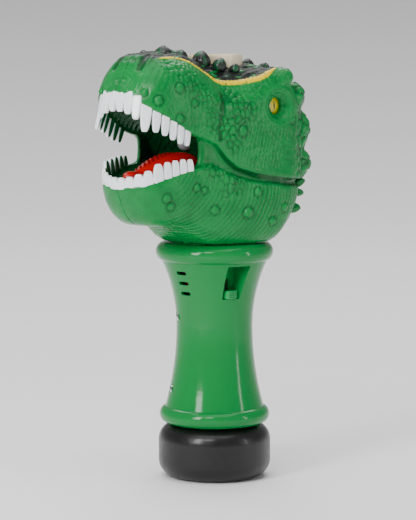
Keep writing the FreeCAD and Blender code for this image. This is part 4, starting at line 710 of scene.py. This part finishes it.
@dataclass
class ToothRow:
    """One row of pegs along a lip; the row's other half is its mirror."""

    name: str
    outline: tuple
    lip: tuple
    teeth: tuple
    up: int
    inset: float = 1.9
    root: float = 2.6
    thick: float = 3.3
    lean: float = 0.30
    taper: float = 1.05

    def lip_line(self) -> tuple[np.ndarray, np.ndarray]:
        """Fine points along the lip's plan, and their distances from the muzzle's middle."""
        corners = np.array(self.outline, float)
        fine = [a + (b - a) * np.linspace(0, 1, 12, endpoint=False)[:, None] for a, b in
                zip(corners[:-1], corners[1:])]
        fine = np.vstack(fine + [corners[-1:]])
        steps = np.hypot(*np.diff(fine, axis=0).T)
        return fine, np.concatenate([[0], np.cumsum(steps)])

    def peg(self, width: float, length: float) -> bpy.types.Object:
        """One rounded peg with its root at the top, at the origin."""
        peg = start(bpy.ops.mesh.primitive_cube_add, size=1.0)
        bpy.ops.object.mode_set(mode="EDIT")
        bpy.ops.mesh.subdivide(number_cuts=2)
        bpy.ops.object.mode_set(mode="OBJECT")
        co = coordinates(peg)
        drop = 0.5 - co[:, 2]
        slim = 1.0 - self.taper * np.clip(drop - 0.45, 0, 1) ** 1.5
        co[:, 0] *= width * 1.04 * slim
        co[:, 1] *= self.thick * (1.0 - 0.35 * np.clip(drop - 0.2, 0, 1))
        co[:, 2] = (0.5 - drop) * (length + self.root) * 1.04
        set_coordinates(peg, co * MM)
        smooth = peg.modifiers.new("round", "SUBSURF")
        smooth.levels = 2
        return peg

    def tooth(self, along: float, width: float, length: float) -> bpy.types.Object:
        """One peg set in the lip, painted white on the face that looks outwards."""
        fine, far = self.lip_line()
        u, w = np.interp(along, far, fine[:, 0]), np.interp(along, far, fine[:, 1])
        ahead = np.array([np.interp(along + 1, far, fine[:, k]) - np.interp(along - 1, far, fine[:, k])
                          for k in (0, 1)])
        ahead /= np.hypot(*ahead)
        tangent = Vector((ahead[1], -ahead[0], 0)).normalized()
        outward = Vector((0, 0, 1)).cross(tangent)
        if outward.dot(Vector((w, -u, 0))) < 0:
            outward.negate()
        height = float(curve(self.lip, np.array([u]), 1.2)[0])
        peg = self.peg(width, length)
        down = Vector((0, -self.lean * min(1.0, along / 24), -1)) if self.up < 0 else Vector((0, -0.10, 1))
        down = down.normalized()
        side = tangent if tangent.cross(-down).dot(outward) > 0 else -tangent
        frame = Matrix((side, (-down).cross(side).normalized(), -down)).transposed().to_4x4()
        spot = Vector((w, -u, height)) - outward * self.inset + down * ((length - self.root) / 2)
        peg.matrix_world = Matrix.Translation(spot * MM) @ frame
        peg = settle(peg, "tooth")
        normals = np.empty(3 * len(peg.data.vertices), np.float32)
        peg.data.vertices.foreach_get("normal", normals)
        facing = normals.reshape(-1, 3) @ np.array(outward)
        store(peg, "painted", fade(facing, -0.45, -0.15))
        return peg

    def build(self) -> list:
        """Both mirrored halves of the row, as two meshes."""
        left = joined([self.tooth(*tooth) for tooth in self.teeth], self.name + "_left")
        right = start(bpy.ops.mesh.primitive_cube_add, size=MM)
        right.data = left.data.copy()
        co = coordinates(right)
        co[:, 0] *= -1
        set_coordinates(right, co)
        right.data.flip_normals()
        right.name = right.data.name = self.name + "_right"
        return [left, right]


@dataclass
class Tongue:
    """The grooved tongue with a round tip."""

    half_width: tuple = ((27.2, 16.6), (38, 16.2), (48, 13.6), (58, 9.6), (66, 6.4), (71, 4.7), (76, 5.0),
        (80.2, 3.0))
    top: tuple = ((27.2, 206.0), (36, 206.2), (46, 204.6), (56, 201.4), (64, 198.2), (70, 196.0),
        (75.5, 197.2), (80.2, 195.4))
    bottom: tuple = ((27.2, 191.2), (60, 191.2), (72, 190.9), (80.2, 191.6))

    def build(self) -> bpy.types.Object:
        """A sphere pulled along the mouth, with slanted grooves on top."""
        piece = start(bpy.ops.mesh.primitive_uv_sphere_add, segments=128, ring_count=140, radius=1.0)
        x, y, z = coordinates(piece).T
        radius = np.maximum(np.hypot(x, y), 1e-4)
        cos, sin = x / radius, y / radius
        u = 53.7 - 26.5 * z
        back = np.clip(1 - np.abs(z) ** 22, 0, 1)
        blunt = np.where(z > 0, back, np.sqrt(np.clip(1 - np.abs(z) ** 9, 0, 1)))
        wide, high, low = (curve(line, u) for line in (self.half_width, self.top, self.bottom))
        w = wide * np.sign(cos) * np.abs(cos) ** 0.8 * blunt
        middle = low + (high - low) * 0.42
        rise = np.where(sin > 0, high - middle, middle - low)
        height = middle + rise * np.sign(sin) * np.abs(sin) ** 0.75 * blunt
        groove = np.sin(2 * np.pi * (u + 0.75 * np.abs(w) + 0.5 * np.sin(w * 0.9)) / 3.6)
        height += np.where(sin > 0.1, 0.5 * groove * fade(-u, -72, -67) * blunt, 0) - 0.9 * bell(w, 1.2) * (
            sin > 0.1) * fade(-u, -66, -56)
        set_coordinates(piece, np.stack([w, -u, height], 1) * MM)
        return settle(piece, "tongue_skin", 80)


@dataclass(frozen=True)
class Spike:
    """One horny lump: where its base sits, which way it points, and its size."""

    forward: float
    out: float
    height: float
    lean: tuple
    radius: float
    length: float


@dataclass
class Spikes:
    """A group of horny lumps, mirrored left and right."""

    name: str
    spikes: tuple
    seed: int = 4

    def lump(self, spike: Spike, side: int, number: int) -> bpy.types.Object:
        """One ridged lump with a blunt point."""
        piece = start(bpy.ops.mesh.primitive_uv_sphere_add, segments=40, ring_count=28, radius=1.0)
        x, y, z = coordinates(piece).T
        slim = 1 - 0.22 * np.clip(z, 0, 1) ** 1.5
        turn = np.arctan2(y, x)
        ridge = 1 + 0.085 * np.sin(5 * turn + number * 1.9 + 2.0 * z) * (1 - z ** 2) ** 0.5
        ridge += 0.04 * np.sin(11 * turn + number + 5 * z)
        co = np.stack([x * slim * ridge * spike.radius, y * slim * ridge * spike.radius * 0.9,
                       z * spike.length + 0.25 * np.sin(3 * turn + number)], 1)
        set_coordinates(piece, co * MM)
        lean = Vector((spike.lean[1] * side, -spike.lean[0], spike.lean[2])).normalized()
        turn_to = lean.to_track_quat("Z", "Y").to_matrix().to_4x4()
        spot = Vector((spike.out * side, -spike.forward, spike.height)) * MM
        piece.matrix_world = Matrix.Translation(spot) @ turn_to
        return settle(piece, "lump", 80)

    def build(self) -> bpy.types.Object:
        """All the lumps as one mesh."""
        lumps = []
        for number, spike in enumerate(self.spikes):
            sides = (1, -1) if spike.out else (1,)
            lumps += [self.lump(spike, side, number) for side in sides]
        return joined(lumps, self.name)


CREST = (
    Spike(46.0, 0.0, 267.2, (0.10, 0.0, 1.0), 5.6, 4.6),
    Spike(35.0, 4.5, 265.6, (-0.05, 0.1, 1.0), 4.2, 3.6),
    Spike(23.0, 10.0, 262.2, (-0.1, 0.12, 1.0), 6.2, 6.4),
    Spike(14.5, 18.0, 259.6, (-0.2, 0.3, 1.0), 4.6, 4.6),
    Spike(55.0, 8.0, 266.4, (0.1, 0.1, 1.0), 3.4, 2.6),
    Spike(6.0, 22.5, 257.6, (-0.1, 0.3, 1.0), 3.4, 3.0),
    Spike(-21.5, 8.0, 259.0, (-0.2, 0.1, 1.0), 4.8, 4.2),
    Spike(-24.0, 20.0, 257.4, (-0.3, 0.3, 1.0), 4.2, 3.4))
NAPE = (
    Spike(-44.6, 30.6, 185.4, (-1.0, 0.75, 0.35), 3.4, 4.6),
    Spike(-43.6, 30.4, 179.2, (-1.0, 0.75, -0.2), 3.0, 4.4),
    Spike(-38.4, 31.4, 169.8, (-0.9, 0.8, -0.1), 3.6, 5.0),
    Spike(-46.4, 20.0, 178.0, (-1.0, 0.3, 0.0), 3.4, 4.4),
    Spike(-40.4, 18.6, 166.0, (-1.0, 0.3, -0.3), 3.2, 4.2),
    Spike(-50.0, 0.0, 180.0, (-1.0, 0.0, 0.1), 3.8, 5.0),
    Spike(-41.6, 0.0, 166.0, (-1.0, 0.0, -0.3), 3.4, 4.6))


# ------------------------------------------------------------------ finishes
class Tree:
    """A small writer of procedural node materials."""

    def __init__(self, name: str) -> None:
        self.material = bpy.data.materials.new(name)
        self.material.use_nodes = True
        self.nodes, self.links = self.material.node_tree.nodes, self.material.node_tree.links
        self.shader = self.nodes["Principled BSDF"]
        self.place = self.nodes.new("ShaderNodeTexCoord").outputs["Object"]

    def put(self, socket: str, value) -> None:
        """Set a shader input to a constant, or link a node's output to it."""
        self.feed(self.shader.inputs[socket], value)

    def feed(self, target, value) -> None:
        """Give any input a constant or a link."""
        if isinstance(value, bpy.types.NodeSocket):
            self.links.new(value, target)
        else:
            target.default_value = value

    def stretched(self, scale: tuple):
        """Object coordinates scaled by axis."""
        node = self.nodes.new("ShaderNodeMapping")
        self.links.new(self.place, node.inputs["Vector"])
        node.inputs["Scale"].default_value = scale
        return node.outputs["Vector"]

    def noise(self, scale: float, detail: float = 3.0, stretch: tuple | None = None):
        """A noise value between about 0 and 1."""
        node = self.nodes.new("ShaderNodeTexNoise")
        self.links.new(self.stretched(stretch) if stretch else self.place, node.inputs["Vector"])
        node.inputs["Scale"].default_value = scale
        node.inputs["Detail"].default_value = detail
        return node.outputs["Fac"]

    def math(self, operation: str, a, b=0.0):
        """One arithmetic step."""
        node = self.nodes.new("ShaderNodeMath")
        node.operation = operation
        for target, value in zip(node.inputs, (a, b)):
            self.feed(target, value)
        return node.outputs[0]

    def times(self, a, b):
        """A product."""
        return self.math("MULTIPLY", a, b)

    def plus(self, a, b):
        """A total."""
        return self.math("ADD", a, b)

    def ranged(self, value, low: float, high: float, out_low: float = 0.0, out_high: float = 1.0):
        """A value mapped smoothly from one range to another."""
        node = self.nodes.new("ShaderNodeMapRange")
        node.interpolation_type = "SMOOTHSTEP"
        for target, number in zip(node.inputs, (value, low, high, out_low, out_high)):
            self.feed(target, number)
        return node.outputs[0]

    def blend(self, share, a, b):
        """Two colours mixed by a share."""
        node = self.nodes.new("ShaderNodeMix")
        node.data_type = "RGBA"
        self.feed(node.inputs[0], share)
        self.feed(node.inputs[6], a)
        self.feed(node.inputs[7], b)
        return node.outputs[2]

    def uneven(self, low: float, high: float, scale: float, detail: float = 4.0) -> None:
        """Roughness that drifts between two values."""
        self.put("Roughness", self.ranged(self.noise(scale, detail), 0.3, 0.7, low, high))

    def attribute(self, name: str):
        """A number stored on the mesh."""
        node = self.nodes.new("ShaderNodeAttribute")
        node.attribute_name = name
        return node.outputs["Fac"]

    def axes(self):
        """The three object coordinates."""
        node = self.nodes.new("ShaderNodeSeparateXYZ")
        self.links.new(self.place, node.inputs[0])
        return node.outputs

    def bump(self, height, distance: float, strength: float = 1.0) -> None:
        """Small relief in the shading."""
        node = self.nodes.new("ShaderNodeBump")
        node.inputs["Distance"].default_value = distance
        node.inputs["Strength"].default_value = strength
        self.feed(node.inputs["Height"], height)
        self.put("Normal", node.outputs["Normal"])


def rgb(red: float, green: float, blue: float) -> tuple:
    """An opaque linear colour."""
    return (red, green, blue, 1.0)


def shifted(colour: tuple, factor: float) -> tuple:
    """A colour made lighter or darker."""
    return tuple(min(1.0, channel * factor) for channel in colour[:3]) + (1.0,)


GREEN = rgb(0.0, 0.195, 0.038)
# painted shade: the darker green that grooves in the relief are shaded towards
GROOVE_SHADE_GREEN = rgb(0.0, 0.055, 0.011)


@dataclass(frozen=True)
class Plain:
    """A moulded or metal finish with faint unevenness."""

    colour: tuple
    rough: float = 0.3
    metal: float = 0.0
    coat: float = 0.0
    grain: float = 900.0
    relief: float = 0.00004
    vary: float = 0.08
    soft: float = 0.0
    shine: float = 0.35

    def material(self, name: str) -> bpy.types.Material:
        """Build the material."""
        tree = Tree(name)
        darker, lighter = (shifted(self.colour, 1 + change) for change in (-self.vary, self.vary))
        tree.put("Base Color", tree.blend(tree.noise(60.0, 2.0), darker, lighter))
        tree.uneven(self.rough * 0.85, self.rough * 1.15, 220.0)
        tree.put("Metallic", self.metal)
        tree.put("Specular IOR Level", self.shine)
        tree.put("Coat Weight", self.coat)
        tree.put("Coat Roughness", 0.04)
        tree.put("Subsurface Weight", self.soft)
        tree.put("Subsurface Radius", (0.3, 0.6, 0.3))
        tree.put("Subsurface Scale", 0.002)
        tree.bump(tree.noise(self.grain, 3.0), self.relief)
        return tree.material


@dataclass(frozen=True)
class Clear:
    """Clear moulded plastic."""

    colour: tuple = (0.95, 0.98, 1.0, 1.0)
    rough: float = 0.05

    def material(self, name: str) -> bpy.types.Material:
        """Build the material."""
        tree = Tree(name)
        tree.put("Base Color", self.colour)
        tree.put("Transmission Weight", 0.75)
        tree.put("IOR", 1.46)
        tree.uneven(self.rough, self.rough * 2, 300.0, 3.0)
        return tree.material


@dataclass(frozen=True)
class Skin:
    """Green moulding with a yellow stripe, a dry-brushed black crown, and painted shade in the grooves and
    inside the mouth.
    """

    green: tuple = GREEN
    # painted shade colour for the grooves in the relief
    groove_shade: tuple = GROOVE_SHADE_GREEN
    yellow: tuple = (0.80, 0.56, 0.0, 1.0)
    black: tuple = (0.006, 0.010, 0.007, 1.0)
    # painted shade colour for the inside of the mouth
    mouth: tuple = (0.0, 0.050, 0.012, 1.0)

    def material(self, name: str) -> bpy.types.Material:
        """Build the material."""
        tree = Tree(name)
        green = tree.blend(tree.ranged(tree.noise(75.0, 3.0), 0.35, 0.65), shifted(self.green, 0.90),
                           shifted(self.green, 1.10))
        dips = tree.nodes.new("ShaderNodeNewGeometry").outputs["Pointiness"]
        # painted shade: grooves in the relief are darkened towards a shaded green
        green = tree.blend(tree.times(tree.attribute("groove"), 0.85), green, self.groove_shade)
        # painted shade: the inside of the mouth is darkened
        green = tree.blend(tree.attribute("mouth"), green, self.mouth)
        streaks = tree.noise(330.0, 4.0, (1.0, 0.30, 1.0))
        patches = tree.noise(60.0, 2.0)
        cover = tree.plus(tree.ranged(streaks, 0.36, 0.52), tree.ranged(patches, 0.35, 0.65, -0.2, 0.4))
        raised = tree.ranged(dips, 0.46, 0.53, -0.3, 0.5)
        cover = tree.times(tree.attribute("crown"), tree.ranged(tree.plus(cover, raised), 0.0, 0.6))
        green = tree.blend(cover, green, self.black)
        worn = tree.ranged(tree.noise(420.0, 3.0), 0.30, 0.42)
        stripe = tree.times(tree.attribute("stripe"), worn)
        tree.put("Base Color", tree.blend(stripe, green, self.yellow))
        gloss = tree.ranged(tree.noise(240.0, 4.0), 0.3, 0.7, 0.20, 0.30)
        tree.put("Roughness", tree.plus(gloss, tree.times(cover, 0.22)))
        tree.put("Specular IOR Level", 0.22)
        tree.put("Subsurface Weight", 0.04)
        tree.put("Subsurface Scale", 0.002)
        fine = tree.plus(tree.noise(520.0, 4.0, (1.0, 1.0, 0.45)), tree.times(tree.noise(1500.0, 2.0), 0.3))
        tree.bump(fine, 0.00022)
        return tree.material


@dataclass(frozen=True)
class Horn:
    """Black dry-brushed lumps with green showing in the grooves."""

    black: tuple = (0.007, 0.009, 0.008, 1.0)
    green: tuple = (0.0, 0.075, 0.025, 1.0)

    def material(self, name: str) -> bpy.types.Material:
        """Build the material."""
        tree = Tree(name)
        patch = tree.ranged(tree.noise(260.0, 4.0, (1.0, 1.0, 0.35)), 0.50, 0.62)
        tree.put("Base Color", tree.blend(patch, self.black, self.green))
        tree.uneven(0.26, 0.44, 300.0)
        tree.bump(tree.noise(480.0, 4.0, (1.0, 1.0, 0.3)), 0.0004)
        return tree.material


@dataclass(frozen=True)
class Tooth:
    """White paint on the outward faces of green pegs, with painted shade in their hollows and on their faces
    inside the mouth.
    """

    white: tuple = (0.86, 0.90, 0.92, 1.0)
    # painted shade: darker than the shell's green, for the unpainted faces inside the mouth
    green: tuple = (0.0, 0.12, 0.032, 1.0)

    def material(self, name: str) -> bpy.types.Material:
        """Build the material."""
        tree = Tree(name)
        ragged = tree.ranged(tree.noise(500.0), 0.3, 0.7, -0.15, 0.15)
        edge = tree.ranged(tree.plus(tree.attribute("painted"), ragged), 0.45, 0.6)
        # painted shade: the white turns bluish grey in hollows, where pointiness is low
        dips = tree.nodes.new("ShaderNodeNewGeometry").outputs["Pointiness"]
        white = tree.blend(tree.ranged(dips, 0.42, 0.49, 0.6, 0.0), self.white, rgb(0.48, 0.66, 0.72))
        tree.put("Base Color", tree.blend(edge, self.green, white))
        tree.uneven(0.16, 0.26, 200.0, 3.0)
        tree.put("Coat Weight", 0.3)
        tree.bump(tree.noise(400.0, 3.0, (1.0, 1.0, 0.4)), 0.00012)
        return tree.material


@dataclass(frozen=True)
class Eye:
    """A yellow iris with fine rays, a dark rim and an upright slit."""

    centre: tuple = (0.0150, 0.2345)
    radius: float = 0.0060
    slit: tuple = (0.0008, 0.0030)

    def material(self, name: str) -> bpy.types.Material:
        """Build the material."""
        tree = Tree(name)
        _, y, z = tree.axes()
        across, up = tree.math("SUBTRACT", y, self.centre[0]), tree.math("SUBTRACT", z, self.centre[1])
        far = tree.math("SQRT", tree.plus(tree.times(across, across), tree.times(up, up)))
        share = tree.math("DIVIDE", far, self.radius)
        angle = tree.math("ARCTAN2", up, across)
        rays = tree.math("SINE", tree.times(angle, 46.0))
        mottle = tree.plus(tree.times(rays, 0.12), tree.noise(900.0, 3.0))
        iris = tree.blend(tree.ranged(mottle, 0.35, 0.75), rgb(0.62, 0.52, 0.0), rgb(0.42, 0.32, 0.0))
        iris = tree.blend(tree.ranged(share, 0.25, 0.55, 1.0, 0.0), iris, rgb(0.76, 0.66, 0.01))
        iris = tree.blend(tree.ranged(share, 0.86, 0.96), iris, rgb(0.02, 0.02, 0.01))
        a = tree.math("DIVIDE", across, self.slit[0])
        b = tree.math("DIVIDE", up, self.slit[1])
        slit = tree.plus(tree.math("ABSOLUTE", a), tree.times(b, b))
        tree.put("Base Color", tree.blend(tree.ranged(slit, 0.92, 1.08), rgb(0.003, 0.003, 0.003), iris))
        tree.put("Roughness", 0.10)
        tree.put("Coat Weight", 0.3)
        tree.put("Coat Roughness", 0.02)
        return tree.material


@dataclass(frozen=True)
class CellWrap:
    """A battery's printed wrap: a dark body with a coppery band at one end."""

    band: float = 0.098

    def material(self, name: str) -> bpy.types.Material:
        """Build the material."""
        tree = Tree(name)
        above = tree.ranged(tree.axes()[2], self.band, self.band + 0.0004)
        tree.put("Base Color", tree.blend(above, rgb(0.012, 0.012, 0.014), rgb(0.50, 0.21, 0.05)))
        tree.put("Metallic", 0.4)
        tree.uneven(0.22, 0.34, 200.0, 3.0)
        return tree.material


@dataclass(frozen=True)
class Board:
    """Green solder resist with faint copper tracks."""

    def material(self, name: str) -> bpy.types.Material:
        """Build the material."""
        tree = Tree(name)
        _, y, z = tree.axes()
        lines = tree.math("SINE", tree.times(y, 3600.0))
        gaps = tree.math("SINE", tree.times(z, 1500.0))
        tracks = tree.ranged(tree.times(lines, gaps), 0.35, 0.5)
        tree.put("Base Color", tree.blend(tracks, rgb(0.01, 0.09, 0.03), rgb(0.03, 0.17, 0.05)))
        tree.put("Roughness", 0.35)
        tree.bump(tracks, 0.00005)
        return tree.material


class Slot(Enum):
    """The record's material slots, each with the finish its nodes take."""

    GREEN = ("green_plastic", Plain(GREEN, 0.13, grain=140.0, relief=0.00005, vary=0.05, shine=0.28))
    KNOB = ("knob_plastic", Plain(rgb(0.0, 0.30, 0.07), 0.22, vary=0.05))
    BLACK = ("black_plastic", Plain(rgb(0.006, 0.006, 0.006), 0.34, coat=0.1, grain=1400.0, relief=0.00005))
    EYE = ("eye_plastic", Eye())
    RED = ("red_plastic", Plain(rgb(0.50, 0.0, 0.0), 0.18, coat=0.2, grain=420.0, relief=0.0001, soft=0.05))
    CREAM = ("cream_plastic", Plain(rgb(0.82, 0.72, 0.50), 0.28, coat=0.2, soft=0.05))
    WHITE = ("white_plastic", Plain(rgb(0.72, 0.72, 0.70), 0.4))
    GREY = ("grey_plastic", Plain(rgb(0.10, 0.10, 0.11), 0.42))
    CLEAR = ("clear_plastic", Clear())
    SILICONE = ("silicone", Plain(rgb(0.72, 0.74, 0.72), 0.35, soft=0.2))
    RUBBER = ("rubber", Plain(rgb(0.02, 0.02, 0.02), 0.7))
    STEEL = ("steel", Plain(rgb(0.58, 0.58, 0.60), 0.26, metal=1.0, grain=2500.0))
    WASHER = ("washer_plastic", Plain(rgb(0.62, 0.62, 0.56), 0.45))
    SPRING = ("spring_metal", Plain(rgb(0.66, 0.63, 0.56), 0.22, metal=1.0))
    CELLS = ("cell_wrap", CellWrap())
    BOARD = ("board", Board())
    WIRE = ("wire_cover", Plain(rgb(0.42, 0.015, 0.015), 0.42))

    @property
    def label(self) -> str:
        """The slot's name in the record."""
        return self.value[0]

    @property
    def finish(self):
        """The finish that its nodes take."""
        return self.value[1]


# ------------------------------------------------------------------ the object
@dataclass
class Wand:
    """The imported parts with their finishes, and the sculpted pieces that stand for some of them."""

    nodes: dict
    slots: dict
    materials: dict = field(default_factory=dict)
    sculpt: HeadSculpt = field(default_factory=HeadSculpt)

    def finish_nodes(self) -> None:
        """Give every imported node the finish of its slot."""
        for slot in Slot:
            self.materials[slot] = slot.finish.material(slot.label)
        for name, node in self.nodes.items():
            material = self.materials[next(slot for slot in Slot if slot.label == self.slots[name])]
            node.data.materials.clear()
            node.data.materials.append(material)
        log.info("finished %d nodes in %d slots", len(self.nodes), len(self.materials))

    def add(self, piece: bpy.types.Object, material: bpy.types.Material, slot: Slot) -> None:
        """Fix a new piece to the housing with its finish."""
        piece.data.materials.clear()
        piece.data.materials.append(material)
        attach(piece, HOUSING)
        log.info("%s: %d faces, %s", piece.name, len(piece.data.polygons), slot.label)

    def head(self) -> None:
        """The two sculpted halves of the head."""
        skin = Skin().material("head_skin")
        for side in Side:
            piece = self.sculpt.half(side)
            self.add(piece, skin, Slot.GREEN)
            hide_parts(f"head_{side.name.lower()}_shell")

    def teeth(self) -> None:
        """Both rows of teeth."""
        shape = self.sculpt.shape
        paint = Tooth().material("tooth_paint")
        upper = ((3.4, 6.4, 10.2), (9.8, 6.2, 10.6), (15.8, 6.0, 11.4), (22.6, 6.6, 14.6), (29.4, 5.2, 11.4),
                 (35.2, 4.9, 10.6), (40.8, 4.7, 10.2), (46.2, 4.5, 9.6), (51.2, 4.2, 8.2))
        lower = ((3.2, 6.4, 4.6), (9.4, 6.4, 5.0), (15.6, 6.6, 6.0), (22.0, 6.6, 7.0), (28.8, 6.4, 9.2),
                 (35.0, 5.3, 8.6), (40.6, 5.0, 8.0), (46.0, 4.8, 7.2), (51.0, 4.4, 6.0))
        rows = (ToothRow("upper_teeth", shape.plan, shape.lip, upper, -1),
                ToothRow("lower_teeth", shape.jaw_plan, shape.jaw_top, lower, 1))
        for row in rows:
            for piece in row.build():
                self.add(piece, paint, Slot.WHITE)

    def tongue(self) -> None:
        """The tongue between the jaws."""
        piece = Tongue().build()
        self.add(piece, self.materials[Slot.RED], Slot.RED)
        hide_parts("tongue")

    def horns(self) -> None:
        """The black lumps on the crown and the green ones down the nape."""
        nape_green = Plain(shifted(GREEN, 0.8), 0.28, shine=0.25).material("nape_green")
        self.add(Spikes("crest_lumps", CREST).build(), Horn().material("horn"), Slot.GREEN)
        self.add(Spikes("nape_lumps", NAPE).build(), nape_green, Slot.GREEN)

    def build(self) -> None:
        """Everything that shows."""
        self.finish_nodes()
        self.head()
        self.teeth()
        self.tongue()
        self.horns()


# ------------------------------------------------------------------ the room
@dataclass(frozen=True)
class Softbox:
    """One area light: its direction from the object, distance, size and power."""

    name: str
    azimuth: float
    elevation: float
    distance: float
    size: tuple
    power: float


@dataclass
class Studio:
    """A plain pale room with softboxes and the camera."""

    target: tuple = (0.0, -0.006, 0.1375)
    azimuth: float = 43.0
    elevation: float = 6.0
    distance: float = 1.45
    lens: float = 160.0
    surround: float = 0.32
    floor_reach: float = 7.0
    floor_flat: float = 0.25
    floor_rise: float = 2.0
    boxes: tuple = (
        Softbox("key", 5.0, 24.0, 0.9, (0.22, 0.50), 6.5),
        Softbox("fill", 112.0, 12.0, 1.1, (0.08, 0.6), 1.8),
        Softbox("overhead", 40.0, 84.0, 2.4, (2.6, 2.6), 44.0),
        Softbox("front", 30.0, 40.0, 1.6, (0.4, 0.3), 4.5),
        Softbox("backdrop", 223.0, 50.0, 2.6, (2.4, 1.0), 40.0))

    def direction(self, azimuth: float, elevation: float) -> Vector:
        """A unit vector from the object, azimuth 0 being straight ahead of the creature."""
        a, e = math.radians(azimuth), math.radians(elevation)
        return Vector((math.sin(a) * math.cos(e), -math.cos(a) * math.cos(e), math.sin(e)))

    def aim(self, thing: bpy.types.Object, azimuth: float, elevation: float, distance: float) -> None:
        """Place a light or the camera, looking at the target."""
        away = self.direction(azimuth, elevation)
        thing.location = Vector(self.target) + away * distance
        thing.rotation_euler = away.to_track_quat("Z", "Y").to_euler()

    def floor(self) -> None:
        """A wide pale floor under the object that curves up far away, so that no edge shows."""
        piece = start(bpy.ops.mesh.primitive_grid_add, x_subdivisions=120, y_subdivisions=120,
                      size=2 * self.floor_reach)
        co = coordinates(piece)
        out = np.hypot(co[:, 0], co[:, 1])
        co[:, 2] = self.floor_rise * fade(out, self.floor_flat * self.floor_reach, self.floor_reach)
        set_coordinates(piece, co)
        piece = settle(piece, "floor", 80)
        tree = Tree("floor")
        tree.put("Base Color", rgb(0.90, 0.90, 0.90))
        tree.put("Roughness", 0.75)
        piece.data.materials.append(tree.material)

    def lights(self) -> None:
        """The softboxes and the pale surround."""
        for box in self.boxes:
            data = bpy.data.lights.new(box.name, "AREA")
            data.shape = "RECTANGLE"
            data.size, data.size_y = box.size
            data.energy = box.power
            light = bpy.data.objects.new(box.name, data)
            bpy.context.scene.collection.objects.link(light)
            self.aim(light, box.azimuth, box.elevation, box.distance)
        world = bpy.data.worlds.new("surround")
        world.use_nodes = True
        background = world.node_tree.nodes["Background"]
        background.inputs["Color"].default_value = rgb(1.0, 1.0, 1.0)
        background.inputs["Strength"].default_value = self.surround
        bpy.context.scene.world = world

    def camera(self) -> None:
        """The camera at the viewing angle."""
        data = bpy.data.cameras.new("camera")
        data.lens = self.lens
        camera = bpy.data.objects.new("camera", data)
        bpy.context.scene.collection.objects.link(camera)
        self.aim(camera, self.azimuth, self.elevation, self.distance)
        bpy.context.scene.camera = camera

    def build(self) -> None:
        """Floor, lights and camera."""
        self.floor()
        self.lights()
        self.camera()


def main() -> None:
    """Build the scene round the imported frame."""
    logging.basicConfig(level=logging.INFO, format="%(message)s")
    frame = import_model()
    slots = {part["node"]: part["material_slot"] for part in frame["record"]["subparts"]}
    Wand(frame["nodes"], slots).build()
    Studio().build()


if __name__ == "__main__":
    main()
